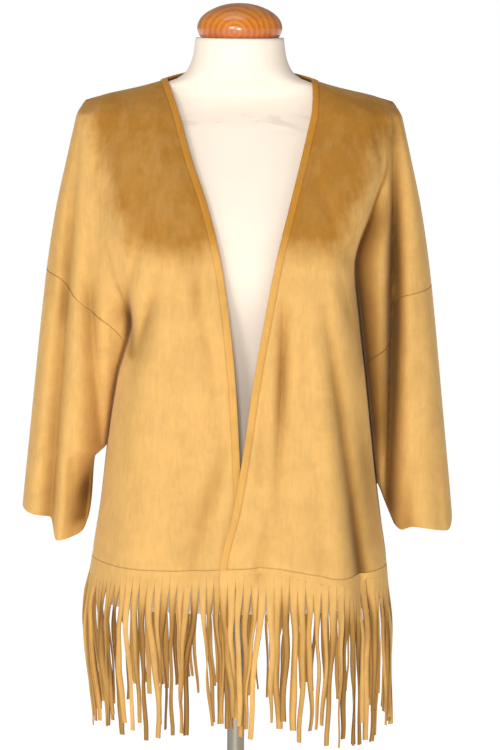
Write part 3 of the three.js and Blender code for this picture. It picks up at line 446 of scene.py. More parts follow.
def neck_line(side, share, inset):
    """The back neckline: a cubic Bezier from centre back to the shoulder line, set outside the edge."""
    share = np.asarray(share, float)[..., None]
    start = shoulder_line(side, inset / SHOULDER)
    along = shoulder_line(side, 0) - shoulder_line(side, BAND_WIDTH / SHOULDER)
    along = along / np.linalg.norm(along)
    end = np.array([0, NECK_BACK[0] + 0.5 * inset, NECK_BACK[1] - 0.85 * inset])
    lean = start + 16 * along + np.array([0, 30 + 0.5 * inset, 0])
    flat = end + np.array([SIGN[side] * (44 + 0.6 * inset), 0, 0])
    s = share
    return (1 - s) ** 3 * end + 3 * s * (1 - s) ** 2 * flat + 3 * s * s * (1 - s) * lean + s**3 * start


def cap_point(side, index, level, start, inset):
    """The shoulder cap: cubics from the shoulder or neck line (level 0) to the section at CAP_Z (level 1)."""
    index, level = np.broadcast_arrays(np.asarray(index, float), np.asarray(level, float))
    shape, index, level = index.shape, index.ravel(), level.ravel()
    front_run = (index - start) / (OUTER - start)
    back_run = (NECK_INDEX - index) / (NECK_INDEX - OUTER)
    run = np.where(index <= OUTER, front_run, back_run)
    share = mix(inset / SHOULDER, 1, np.clip(run, 0, 1))
    face = np.where(index < OUTER, -1.0, 1.0)
    neck = index > NECK_INDEX
    neck_share = np.clip((CENTRE - index) / (CENTRE - NECK_INDEX), 0, 1)
    top = np.where(neck[:, None], neck_line(side, neck_share, inset), shoulder_line(side, share))
    level_way = np.stack([0 * face, face, 0 * face], -1)
    tip = np.array([SIGN[side] * 0.8, 0, -0.75])
    leave = mix(level_way, tip, step_up(0.72, 1, share)[:, None])
    back_way = mix(np.array([0, 1.0, 0]), np.array([0, 0.5, -0.85]), (1 - neck_share)[:, None])
    leave = np.where(neck[:, None], back_way, leave)
    low = cloth_point(side, 0 * index + CAP_Z, index)
    lower = cloth_point(side, 0 * index + CAP_Z - 12, index)
    drop = top[:, 2] - low[:, 2]
    spread = np.linalg.norm(low[:, :2] - top[:, :2], axis=-1)
    reach = 1.2 * np.maximum(spread, 0.5 * drop)
    leave = leave / np.linalg.norm(leave, axis=-1, keepdims=True) * reach[:, None]
    arrive = (lower - low) * (1.1 * drop / 12)[:, None]
    t = level[:, None]
    p = mix(top, low, t * t * (3 - 2 * t)) + t * (1 - t) ** 2 * leave - t * t * (1 - t) * arrive
    return p.reshape(*shape, 3)


def spread_out(count, ends=0.35):
    """Numbers from 0 to 1 that lie closer together towards both ends."""
    t = np.linspace(0, 1, count)
    return mix(t, (1 - np.cos(np.pi * t)) / 2, ends)


def grid_normals(p):
    """Unit normals of a grid of points: the cross product of its two directions."""
    n = np.cross(np.gradient(p, axis=1), np.gradient(p, axis=0))
    length = np.linalg.norm(n, axis=-1, keepdims=True)
    return n / np.where(length < 1e-9, 1, length)


def piece_from(name, points, faces, material, uv=None, marks=None):
    """Puts points in millimetres and faces into a smooth mesh object, with its UV map and point marks."""
    mesh = bpy.data.meshes.new(name)
    mesh.from_pydata((points / 1000).tolist(), [], faces.tolist())
    mesh.polygons.foreach_set("use_smooth", np.ones(len(mesh.polygons), bool))
    if uv is not None:
        corner = np.empty(len(mesh.loops), int)
        mesh.loops.foreach_get("vertex_index", corner)
        mesh.uv_layers.new(name="cut").data.foreach_set("uv", uv[corner].ravel())
    for key, values in (marks or {}).items():
        mesh.attributes.new(key, "FLOAT", "POINT").data.foreach_set("value", values.astype(np.float32))
    mesh.validate()
    mesh.set_sharp_from_angle(angle=math.radians(50))
    mesh.materials.append(material)
    obj = bpy.data.objects.new(name, mesh)
    bpy.context.scene.collection.objects.link(obj)
    return obj


def thick_sheet(p, thickness, out_sign, sink=None, n=None):
    """A wall from a grid: it moves out and in by half the thickness along its normals, with a rim."""
    rows, cols = p.shape[:2]
    n = (grid_normals(p) if n is None else n) * out_sign
    middle = p - n * (0 if sink is None else sink[..., None])
    outside = (middle + n * thickness / 2).reshape(-1, 3)
    inside = (middle - n * thickness / 2).reshape(-1, 3)
    ids = np.arange(rows * cols).reshape(rows, cols)
    quads = np.stack([ids[:-1, :-1], ids[:-1, 1:], ids[1:, 1:], ids[1:, :-1]], -1).reshape(-1, 4)
    ring = np.concatenate([ids[0, :-1], ids[:-1, -1], ids[-1, :0:-1], ids[:0:-1, 0]])
    following = np.roll(ring, -1)
    total = rows * cols
    rim = np.stack([following, ring, ring + total, following + total], -1)
    front = quads if out_sign > 0 else quads[:, ::-1]
    rim = rim if out_sign > 0 else rim[:, ::-1]
    faces = np.concatenate([front, front[:, ::-1] + total, rim])
    return np.concatenate([outside, inside]), faces


def cut_lengths(p):
    """How far each grid point lies along its row and its column, in metres: the flat cut's coordinates."""
    across = np.linalg.norm(np.diff(p, axis=1), axis=-1)
    down = np.linalg.norm(np.diff(p, axis=0), axis=-1)
    u = np.concatenate([np.zeros((p.shape[0], 1)), np.cumsum(across, 1)], 1)
    v = np.concatenate([np.zeros((1, p.shape[1])), np.cumsum(down, 0)], 0)
    return np.stack([u, v], -1) / 1000


def stand_for(obj, node):
    """Puts a finished piece in the place of its node: under the root body, with the node hidden."""
    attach(obj, "root")
    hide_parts(node)
    return obj


def wall_piece(name, grid, thickness, out_sign, material, node, sink=None):
    """A thick piece from a grid of points, normals and painted fold shade, in the place of its node."""
    p, n, shade_and_tone = grid
    points, faces = thick_sheet(p, thickness, out_sign, sink, n)
    uv = cut_lengths(p).reshape(-1, 2)
    seam = (np.zeros(p.shape[:2]) if sink is None else sink).ravel()
    # The inner side of the cloth gets painted shade.
    inner = np.maximum(shade_and_tone.ravel(), INSIDE_SHADE)
    marks = {"seam": np.tile(seam, 2), "shade_and_tone": np.concatenate([shade_and_tone.ravel(), inner])}
    obj = piece_from(name, points, faces, material, np.concatenate([uv, uv]), marks)
    return stand_for(obj, node)


def hang_sheet(name, grid, thickness, out_sign, material, node, sink=None):
    """A thick piece from a grid, made by wall_piece with its cut as a UV map, in the place of its node."""
    obj = wall_piece(name, grid, thickness, out_sign, material, node, sink)
    return obj


def rows_between(top, bottom, step, keep):
    """Levels from top to bottom at about one step; the given ones replace any that lie too near them."""
    z = np.linspace(top, bottom, int(round((top - bottom) / step)) + 1)
    keep = np.array([k for k in keep if bottom < k < top], float)
    far = abs(z[:, None] - keep[None, :]).min(1) > 0.45 * step if len(keep) else z > -1
    far[0] = far[-1] = True
    return np.sort(np.concatenate([z[far], keep]))[::-1]


def seam_power(offset):
    """The power that keeps a seam's shift close to it: 1 plus a share of 4 over its offset, 5 at most."""
    return np.minimum(5, 1 + 0.65 * (4 / np.maximum(offset, 0.3) - 1))


def seam_columns(first, seam, u):
    """Anchor numbers from a border to the seam: an even run, plus the seam's offset by a power of u."""
    crease = np.where(seam > OUTER, BACK_CREASE, CREASE)
    power = seam_power(abs(seam - crease))
    return mix(first, crease, u) + (seam - crease) * u**power


def seam_rows(side, step=1.4, fine=0.35):
    """Close levels where the armhole seam runs nearly level or crosses a fold."""
    z = SEAM[side]["z"]
    change = z[1] - 6
    return np.concatenate([np.arange(z[0], change, -fine), np.arange(change - step, z[-2] - 22, -step)])


def body_part(side, z, index, part="body"):
    """Points, normals and painted fold shade of the cloth at a grid of levels and anchor numbers."""
    p = cloth_point(side, z, index, part)
    return p + hem_drape(p), cloth_normal(side, z, index, part), painted_fold_shade(side, index, p)


def cap_part(side, index, level, start, inset):
    """Points, normals and painted fold shade of the shoulder cap at a grid of anchor numbers and levels."""
    low, high = np.clip(index - 0.03, 0, CENTRE), np.clip(index + 0.03, 0, CENTRE)
    p = cap_point(side, index, level, start, inset)
    across = cap_point(side, high, level, start, inset) - cap_point(side, low, level, start, inset)
    above = cap_point(side, index, np.maximum(level - 0.02, 0), start, inset)
    down = cap_point(side, index, level + 0.02, start, inset) - above
    n = np.cross(across, down)
    n = n / np.maximum(np.linalg.norm(n, axis=-1, keepdims=True), 1e-9)
    return p, n, painted_fold_shade(side, index, p)


def stack_parts(parts, axis=0):
    """Grids of points, normals and painted shade joined one after another."""
    return tuple(np.concatenate(kind, axis) for kind in zip(*parts))


def front_grid(side):
    """A front: levels from the shoulder to the hem, columns from the band to the armhole or side seam."""
    u = spread_out(128)
    start = float(band_index(side, CAP_Z))
    level = np.linspace(0, 1, 15)[:-1, None]
    cap = cap_part(side, mix(start, OUTER, u)[None, :], level, start, BAND_WIDTH)
    z = rows_between(CAP_Z, HEM_Z + 0.15, 4.0, [UNDERARM[side], UNDERARM[side] - 4, *seam_rows(side)])
    index = seam_columns(band_index(side, z)[:, None], seam_index(side, z)[:, None], u[None, :])
    return stack_parts([cap, body_part(side, z[:, None], index)])


def back_grid():
    """The back, from one outer line to the other; the halves' columns meet at the centre."""
    keep = [974, 970, 926, 922, *seam_rows("right", 2.5, 1.0), *seam_rows("left", 2.5, 1.0)]
    z = rows_between(CAP_Z, HEM_Z + 0.15, 4.5, keep)
    t = np.linspace(0, 1, 96)
    u = mix(t, 1 - np.cos(np.pi * t / 2), 0.25)
    level = np.linspace(0, 1, 15)[:-1, None]
    halves = []
    for side in ("right", "left"):
        cap = cap_part(side, mix(OUTER, CENTRE, u)[None, :], level, 0.0, BAND_WIDTH)
        first = 2 * OUTER - seam_index(side, z)
        body = body_part(side, z[:, None], seam_columns(CENTRE, first[:, None], 1 - u[None, :]))
        halves.append(stack_parts([cap, body]))
    left = [kind[:, -2::-1] for kind in halves[1]]
    left[1] = -left[1]
    return stack_parts([halves[0], left], 1)


def sleeve_grid(side):
    """A sleeve: open rows under the armhole seam, rounds below the underarm, and a stretch to the cuff."""
    around = np.linspace(0, 1, 140)
    top = SEAM[side]["z"][0]
    lowest = max(CUFF[side]["height"]) + 14
    z = rows_between(top - 0.3, lowest, 4.0, [UNDERARM[side] - 4, UNDERARM[side], *seam_rows(side)])
    seam = seam_index(side, z)
    offset = seam[:, None] - CREASE
    power = seam_power(offset)
    turn = 1 - 2 * around[None, :]
    index = OUTER - (OUTER - CREASE) * turn + offset * np.sign(turn) * abs(turn) ** power
    rows = np.repeat(z[:, None], len(around), 1)
    cuff = column(CUFF[side], "height", index[-1])
    share = np.linspace(0, 1, 22)[1:, None]
    rows = np.concatenate([rows, mix(lowest, cuff[None, :], share)])
    index = np.concatenate([index, np.repeat(index[-1:], 21, 0)])
    p = cloth_point(side, rows, index, "sleeve")
    return p, cloth_normal(side, rows, index, "sleeve"), painted_fold_shade(side, index, p)


def band_grid():
    """The band: nine columns over its width, in rows up one front, round the neck and down the other."""
    w = np.linspace(0, 1, 9)
    z = np.linspace(HEM_Z + 0.15, CAP_Z, 130)
    halves = []
    for side in ("right", "left"):
        body = cloth_point(side, z[:, None], band_index(side, z)[:, None] * w[None, :])
        start = float(band_index(side, CAP_Z))
        level = np.linspace(1, 0, 14)[1:]
        cap = [cap_point(side, np.full(13, start * s), level, start * s, BAND_WIDTH * s) for s in w]
        share = np.linspace(1, 0, 26)[1:]
        neck = np.stack([neck_line(side, share, BAND_WIDTH * s) for s in w], 1)
        halves.append(np.concatenate([body + hem_drape(body), np.stack(cap, 1), neck]))
    return np.concatenate([halves[0], halves[1][-2::-1]])


def seam_sink(p, sides, depth=0.7, width=1.8):
    """How far a grid sinks at seams on the named borders: a bell curve of the distance to the seam."""
    borders = {"left": p[:, 0], "right": p[:, -1], "top": p[0], "bottom": p[-1]}
    total = np.zeros(p.shape[:2])
    for side in sides:
        line = borders[side]
        steps = np.linspace(0, len(line) - 1, 4 * len(line))
        line = np.stack([np.interp(steps, np.arange(len(line)), line[:, k]) for k in range(3)], -1)
        near = np.stack([np.linalg.norm(row[:, None] - line, axis=-1).min(1) for row in p])
        total = np.maximum(total, depth * np.exp(-((near / width) ** 2)))
    return total


def hem_line(side, first, last):
    """A lookup from an even share of the hem's length to the anchor number there."""
    index = np.linspace(first, last, 500)
    p = cloth_point(side, HEM_Z, index)
    length = np.concatenate([[0], np.cumsum(np.linalg.norm(np.diff(p, axis=0), axis=-1))])
    return lambda share: np.interp(share, length / length[-1], index), length[-1]


def hem_surface(parts):
    """The hem's length, and a function from share and level to points, outward normals and ways along."""
    lines = [(side, *hem_line(side, a, b)) for side, a, b in parts]
    total = sum(length for _, _, length in lines)

    def surface(u, z):
        """Points, outward normals and ways along, at shares of the hem and levels."""
        p = np.zeros(u.shape + (3,))
        q, r = p.copy(), p.copy()
        start = 0.0
        for side, line, length in lines:
            here = (u * total >= start - 1e-6) & (u * total <= start + length + 1e-6)
            index = line((u[here] * total - start) / length)
            point = cloth_point(side, z[here], index)
            p[here] = point + hem_drape(point)
            q[here] = cloth_point(side, z[here], index + 0.02) - cloth_point(side, z[here], index - 0.02)
            r[here] = SIGN[side] * np.cross(q[here], np.array([0, 0, 1.0]))
            q[here] = np.cross(np.array([0, 0, 1.0]), r[here])
            start += length

        def unit(v):
            """Vectors over their own lengths."""
            return v / np.maximum(np.linalg.norm(v, axis=-1, keepdims=True), 1e-9)

        return p, unit(r), unit(q)

    return surface, total


def fringe_parts(parts, count, seed):
    """A strip and its strands: ribbons that gather, sway, turn and curl by smooth random waves."""
    random = np.random.default_rng(seed)
    surface, total = hem_surface(parts)
    low = HEM_Z - 0.5 * STRIP_HEIGHT
    u, z = np.meshgrid(np.linspace(0.0005, 0.9995, count * 5), np.linspace(HEM_Z - 0.15, low - 0.4, 5))
    strip, _, _ = surface(u, z)
    along, across = 34, 5
    t = np.linspace(0, 1, along)[None, :, None]
    w = np.linspace(-1, 1, across)[None, None, :]
    rank = (np.arange(count) + 0.5) / count

    def draw(size=1.0):
        """A normal random number for each strand."""
        return random.normal(0, size, (count, 1, 1))

    ends = np.cumsum(random.integers(3, 8, count))
    clump = np.searchsorted(ends, np.arange(count), side="right")
    middle = np.array([rank[clump == c].mean() for c in clump])
    pull = random.uniform(0.05, 0.5, count)[clump]
    pull = np.where(np.minimum(rank, 1 - rank) < 0.08, 0.45, pull)
    gather = ((middle - rank) * pull)[:, None, None] * step_up(0.08, 0.9, t)
    lean = random.normal(0, 3.0, count)[clump][:, None, None]
    bend = 1.6 * np.sin(np.pi * t * (2 + draw(0.5)) + draw(3))
    bend = bend + 0.7 * np.sin(np.pi * t * (5 + draw(1)) + draw(3))
    sway = t**1.3 * (lean + draw(1.7)) + bend * step_up(0.02, 0.4, t)
    place = np.clip(rank[:, None, None] + gather + sway / total, 0.0008, 0.9992)
    end = FRINGE_END_Z - 9 + 9 * np.clip(draw(), -1.1, 2.0)
    p, normal, way = surface(place[..., 0], np.broadcast_to(mix(low, end, t), place.shape)[..., 0])
    pitch = total / count
    slim = np.clip(0.36 + draw(0.07), 0.17, 0.47)
    cut = 0.02 + 0.05 * random.random((count, 1, 1))
    half = pitch * mix(0.5, slim, 0.12 * step_up(cut, cut + 0.02, t) + 0.88 * step_up(cut, cut + 0.36, t))
    half = half * mix(1, 0.86, t) * (1 + 0.12 * np.sin(9 * t + draw(3)) * step_up(0.1, 0.3, t))
    twist = np.where(random.random((count, 1, 1)) < 0.35, 1.5, 0.5) * draw()
    angle = step_up(0.06, 0.4, t) * (draw(0.4) + twist * t + 0.35 * np.sin(7 * t + draw(3)))
    proud = step_up(0.06, 0.45, t) * (draw(2.0) + 2.2 * np.sin(np.pi * t + draw(1)))
    curl = step_up(0.06, 0.25, t) * draw(0.4) * w * w * half
    wide = way[:, :, None] * np.cos(angle)[..., None] + normal[:, :, None] * np.sin(angle)[..., None]
    out = normal[:, :, None] * np.cos(angle)[..., None] - way[:, :, None] * np.sin(angle)[..., None]
    strands = p[:, :, None] + wide * (w * half)[..., None]
    strands = strands + normal[:, :, None] * proud[..., None] + out * curl[..., None]
    # Each strand gets a random darker tone, and painted shade along its cut edges.
    tone = np.clip(0.27 + draw(0.15), 0, 0.6) * step_up(0.02, 0.3, t) + 0 * w
    tone = tone + 0.3 * step_up(0.6, 1, abs(w)) * step_up(cut, cut + 0.05, t)
    return strip, strands, tone


def hang_fringe(name, parts, count, seed, material, thickness, out_sign):
    """Joins the strip's wall and every strand's wall into one cloth piece, in the place of its node."""
    strip, strands, tone = fringe_parts(parts, count, seed)
    walls = [thick_sheet(strip, thickness, out_sign)]
    walls += [thick_sheet(strand, thickness * 0.99, out_sign) for strand in strands]
    shades = [np.zeros(strip.shape[:2]), *tone]
    points, faces, uv, shade_and_tone, first = [], [], [], [], 0
    for grid, shade, (p, f) in zip([strip, *strands], shades, walls):
        points.append(p)
        faces.append(f + first)
        uv.append(np.tile(cut_lengths(grid).reshape(-1, 2), (2, 1)))
        shade_and_tone.append(np.concatenate([shade.ravel(), shade.ravel() + STRAND_INSIDE_SHADE]))
        first += len(p)
    shade_and_tone = np.concatenate(shade_and_tone)
    marks = {"seam": np.zeros(len(shade_and_tone)), "shade_and_tone": shade_and_tone}
    obj = piece_from(name, np.concatenate(points), np.concatenate(faces), material, np.concatenate(uv), marks)
    return stand_for(obj, name.removesuffix("_cut"))


FORM = {
    "z": (
        772, 830, 900, 1015, 1100, 1190, 1250, 1300, 1340,
        1370, 1394.8, 1407, 1416.2, 1422.4, 1429.2, 1440, 1458, 1480,
    ),
    "half": (163, 166, 156, 118, 120, 140, 150, 160, 174, 184, 182, 160, 128, 100, 78, 65, 58, 55),
    "front": (103, 108, 104, 86, 96, 112, 102, 82, 60, 42, 26, 22, 26, 34, 42, 48, 50, 52),
    "back": (106, 108, 100, 80, 84, 88, 88, 84, 74, 60, 44, 40, 38, 38, 42, 46, 48, 50),
    "middle": (0, 0, 0, 0, 0, 0, 0, 0, 0, 0, 2, 3, 4, 5, 6, 7, 7, 7),
    "power": (2.3, 2.3, 2.3, 2.2, 2.2, 2.2, 2.2, 2.2, 2, 1.8, 1.5, 1.5, 1.6, 1.8, 1.9, 2, 2, 2),
    "tilt": (0, 0, 0, 0, 0, 0, 0, 0, 0, 0, 0, 0, 0, 0, 0, 0.5, 1, 1.5),
}


# Turned outlines, as rows of height and radius; the neck cap's heights are above the top of the neck.
NECK_CAP = (
    (0.4, 30), (0.4, 47.5), (1.2, 49), (3, 50.6), (6, 52), (9, 52.8), (12, 53), (15, 52.8), (18, 52),
    (21, 50.8), (24, 48.9), (27, 46.4), (30, 43), (33, 38.6), (35.5, 34), (38, 28.4), (40, 22.6),
    (41.5, 16.5), (42.4, 11.5), (43, 4),
)
POLE = ((52.4, 6), (52.4, 11), (400, 11), (800, 11), (840, 11), (840, 6))
COLLAR = (
    (13.4, 10), (13.4, 33.2), (13.8, 34), (19, 34), (21, 33), (34, 27.8),
    (45, 24), (47, 22.6), (50, 18.6), (52, 16), (52, 6),
)
BASE = ((0, 60), (0, 173.5), (0.6, 174.6), (2, 175), (7, 175), (9.6, 174.2), (12, 172), (13, 169), (13, 60))
NECK_TOP_Y = 8
NECK_TOP_Z = 1480
CAP_TILT = 0.03


def form_rings(z, around):
    """Closed rings of the form: superellipses with their own front and back depth, tilted near the neck."""
    turn = np.linspace(0, 2 * np.pi, around, endpoint=False)[None, :]
    value = {key: column(FORM, key, z)[:, None] for key in FORM if key != "z"}
    c, s = np.cos(turn), np.sin(turn)
    power = 2 / value["power"]
    y = np.sign(s) * abs(s) ** power * np.where(s < 0, value["front"], value["back"])
    x = np.sign(c) * abs(c) ** power * value["half"]
    return np.stack([x, y + value["middle"], z[:, None] + value["tilt"] * y / 50], -1)


def turned_rings(profile, around):
    """Rings about the upright axis from rows of height and radius."""
    profile = np.asarray(profile, float)
    turn = np.linspace(0, 2 * np.pi, around, endpoint=False)
    x = profile[:, 1:] * np.cos(turn)
    y = profile[:, 1:] * np.sin(turn)
    return np.stack([x, y, np.repeat(profile[:, :1], around, 1)], -1)


def closed_rings(name, rings, material, node):
    """A solid skin of rings joined from the bottom up, closed by a fan at each end, standing for its node."""
    count, around = rings.shape[:2]
    ids = np.arange(count * around).reshape(count, around)
    after = np.roll(ids, -1, 1)
    sides = np.stack([ids[:-1], after[:-1], after[1:], ids[1:]], -1).reshape(-1, 4)
    points = np.concatenate([rings.reshape(-1, 3), rings[:1].mean(1), rings[-1:].mean(1)])
    low_centre = np.full(around, count * around)
    low_fan = np.stack([low_centre, after[0], ids[0]], -1)
    high_fan = np.stack([low_centre + 1, ids[-1], after[-1]], -1)
    mesh = bpy.data.meshes.new(name)
    mesh.from_pydata((points / 1000).tolist(), [], sides.tolist() + low_fan.tolist() + high_fan.tolist())
    mesh.polygons.foreach_set("use_smooth", np.ones(len(mesh.polygons), bool))
    mesh.materials.append(material)
    obj = bpy.data.objects.new(name, mesh)
    bpy.context.scene.collection.objects.link(obj)
    return stand_for(obj, node)


class Net:
    """A short way to place shader nodes in a tree and join their sockets."""

    def __init__(self, tree):
        """Keeps the tree that the nodes go into."""
        self.tree = tree

    def add(self, kind, settings=(), **inputs):
        """A node of a kind; an input is a value or a socket, by its name or as i and its number."""
        node = self.tree.nodes.new("ShaderNode" + kind)
        for key, value in dict(settings).items():
            setattr(node, key, value)
        for key, value in inputs.items():
            numbered = key[0] == "i" and key[1:].isdigit()
            socket = node.inputs[int(key[1:]) if numbered else key.replace("_", " ")]
            if isinstance(value, bpy.types.NodeSocket):
                self.tree.links.new(value, socket)
            else:
                socket.default_value = value
        return node

    def math(self, operation, *values):
        """The result of an operation on values or sockets."""
        inputs = {f"i{i}": value for i, value in enumerate(values)}
        return self.add("Math", {"operation": operation}, **inputs).outputs[0]

    def blend(self, a, b, factor, way="MIX"):
        """Colour b laid over colour a by a factor."""
        node = self.add("Mix", {"data_type": "RGBA", "blend_type": way}, i0=factor, i6=a, i7=b)
        return node.outputs[2]

    def ramp(self, value, low, high, to_low=0.0, to_high=1.0):
        """A smooth rise from to_low at low to to_high at high."""
        smooth = {"interpolation_type": "SMOOTHSTEP"}
        return self.add("MapRange", smooth, i0=value, i1=low, i2=high, i3=to_low, i4=to_high).outputs[0]

    def noise(self, place, scale, detail, **more):
        """A cloudy noise between 0 and 1."""
        return self.add("TexNoise", Vector=place, Scale=scale, Detail=detail, **more).outputs[0]

    def place(self):
        """The point in the object's own metres."""
        return self.add("TexCoord").outputs["Object"]

    def darken(self, colour, tone):
        """A colour times a grey tone."""
        grey = self.add("CombineColor", i0=tone, i1=tone, i2=tone).outputs[0]
        return self.blend(colour, grey, 1.0, "MULTIPLY")


def effect(name, inputs, outputs, build):
    """A shader node group with named inputs (colour or number) and outputs, made once."""
    if name in bpy.data.node_groups:
        return bpy.data.node_groups[name]
    tree = bpy.data.node_groups.new(name, "ShaderNodeTree")
    kinds = {"colour": "NodeSocketColor", "number": "NodeSocketFloat", "direction": "NodeSocketVector"}
    for way, sockets in (("INPUT", inputs), ("OUTPUT", outputs)):
        for socket, kind in sockets:
            tree.interface.new_socket(name=socket, in_out=way, socket_type=kinds[kind])
    source, sink = tree.nodes.new("NodeGroupInput"), tree.nodes.new("NodeGroupOutput")
    for socket, value in build(Net(tree), source.outputs).items():
        tree.links.new(value, sink.inputs[socket])
    return tree


def nap_and_shade_effect():
    """Brushed pile: painted shade over the chest and upward faces, with drifting edges; blotches, strokes,
    grain.
    """

    def build(net, given):
        """Places the nodes of the nap."""
        place = net.place()
        lean = net.add("SeparateXYZ", i0=net.add("NewGeometry").outputs["Normal"]).outputs
        at = net.add("SeparateXYZ", i0=place).outputs
        drift = net.noise(place, 17.0, 5.0, Roughness=0.6)
        brushed = net.add("Mapping", Vector=place, Scale=(1.0, 1.0, 0.2)).outputs[0]
        strokes = net.noise(brushed, 230.0, 5.0, Roughness=0.65)
        streaks = net.noise(brushed, 55.0, 4.0, Roughness=0.6)
        patches = net.noise(place, 30.0, 6.0, Roughness=0.62, Distortion=0.5)
        pile = net.noise(place, 1500.0, 3.0, Roughness=0.7)
        strayed = net.math("MULTIPLY_ADD", streaks, 0.026, -0.013)
        wander = net.math("ADD", net.math("MULTIPLY_ADD", drift, 0.075, -0.0375), strayed)
        low = net.math("MULTIPLY_ADD", wander, 0.75, at["Z"])
        above = net.ramp(low, *CHEST_SHADE_START_Z)
        left = net.ramp(at["Z"], *CHEST_SHADE_SLANT_Z, *CHEST_SHADE_LEFT)
        right = net.ramp(at["Z"], *CHEST_SHADE_SLANT_Z, *CHEST_SHADE_RIGHT)
        left = net.math("MULTIPLY", left, net.ramp(at["X"], -0.01, 0.01))
        right = net.math("MULTIPLY", right, net.ramp(at["X"], -0.01, 0.01, 1.0, 0.0))
        border = net.math("ADD", left, right)
        inside = net.math("SUBTRACT", border, net.math("ABSOLUTE", at["X"]))
        within = net.ramp(net.math("ADD", inside, wander), *CHEST_SHADE_SOFT)
        # Painted shade: the forward-facing chest, and every surface that faces upwards, take the shaded
        # colour.
        facing = net.ramp(lean["Y"], -0.55, 0.1, 1.0, 0.0)
        top = net.ramp(net.math("ADD", lean["Z"], net.math("MULTIPLY", wander, 2.0)), 0.28, 0.75)
        chest_shade = net.math("MULTIPLY", net.math("MULTIPLY", above, within), facing)
        deep = net.math("MAXIMUM", chest_shade, net.math("MULTIPLY", top, 0.8))
        deep = net.math("MULTIPLY", deep, net.ramp(patches, 0.3, 0.62, 0.78, 1.0))
        deep = net.math("MULTIPLY", deep, net.ramp(streaks, 0.3, 0.7, 0.86, 1.06))
        # The painted shade is stronger on the side at positive X.
        deep = net.math("MULTIPLY", deep, net.ramp(at["X"], -0.02, 0.02, 1.0, 1.12))
        colour = net.blend(given["Light"], given["Deep"], deep)
        mottle = net.ramp(patches, 0.3, 0.7, 0.93, 1.04)
        fine = net.ramp(strokes, 0.3, 0.7, 0.95, 1.04)
        grain = net.ramp(pile, 0.25, 0.75, 0.95, 1.04)
        shade = net.math("MULTIPLY", net.math("MULTIPLY", mottle, fine), grain)
        colour = net.darken(colour, shade)
        height = net.math("MULTIPLY_ADD", pile, 0.7, net.math("MULTIPLY", strokes, 0.5))
        return {"Colour": colour, "Height": height, "Deep pile": deep}

    return effect(
        "Brushed nap with painted shade",
        (("Light", "colour"), ("Deep", "colour")),
        (("Colour", "colour"), ("Height", "number"), ("Deep pile", "number")),
        build,
    )


def unevenness(net, scale, detail, low, high, darkest):
    """Soft unevenness: a cloudy noise, and a tone that rises with it from the darkest value to 1."""

    def build(inner, given):
        """Places the nodes of the unevenness."""
        cloud = inner.noise(inner.place(), given["Scale"], given["Detail"])
        tone = inner.ramp(cloud, given["Low"], given["High"], given["Darkest"])
        return {"Cloud": cloud, "Tone": tone}

    numbers = [(name, "number") for name in ("Scale", "Detail", "Low", "High", "Darkest")]
    tree = effect("Soft unevenness", numbers, (("Cloud", "number"), ("Tone", "number")), build)
    values = {"Scale": scale, "Detail": detail, "Low": low, "High": high, "Darkest": darkest}
    return net.add("Group", {"node_tree": tree}, **values).outputs


def new_material(name):
    """An empty material with its own Principled shader."""
    material = bpy.data.materials.new(name)
    material.use_nodes = True
    return material, Net(material.node_tree), material.node_tree.nodes["Principled BSDF"]


def suede(name, light, deep):
    """Suede cloth: nap colour, darker in seams, painted shade in folds, matt, a little sheen and a pile bump.
    """
    if name in bpy.data.materials:
        return bpy.data.materials[name]
    material, net, shader = new_material(name)
    nap = net.add("Group", {"node_tree": nap_and_shade_effect()}, Light=(*light, 1), Deep=(*deep, 1))
    # Seams are darker; folds, creases, the underarm and the inner side get painted shade from a point
    # attribute.
    seam = net.add("Attribute", {"attribute_name": "seam"}).outputs["Fac"]
    shade_and_tone = net.add("Attribute", {"attribute_name": "shade_and_tone"}).outputs["Fac"]
    dark = net.math("MULTIPLY", net.ramp(seam, 0.15, 0.7, 1.0, 0.68), net.ramp(shade_and_tone, 0.02, 1.0, 1.0, 0.27))
    tone = net.add("CombineColor", i0=dark, i1=net.math("POWER", dark, 1.2), i2=net.math("POWER", dark, 1.6))
    colour = net.blend(nap.outputs["Colour"], tone.outputs[0], 1.0, "MULTIPLY")
    net.tree.links.new(colour, shader.inputs["Base Color"])
    rough = net.ramp(nap.outputs["Deep pile"], 0.0, 1.0, 0.86, 0.7)
    net.tree.links.new(rough, shader.inputs["Roughness"])
    bump = net.add("Bump", Strength=0.35, Distance=0.0004, Height=nap.outputs["Height"])
    net.tree.links.new(bump.outputs[0], shader.inputs["Normal"])
    shader.inputs["Specular IOR Level"].default_value = 0.25
    shader.inputs["Sheen Weight"].default_value = 0.22
    shader.inputs["Sheen Roughness"].default_value = 0.35
    shader.inputs["Sheen Tint"].default_value = (1.0, 0.82, 0.55, 1)
    return material


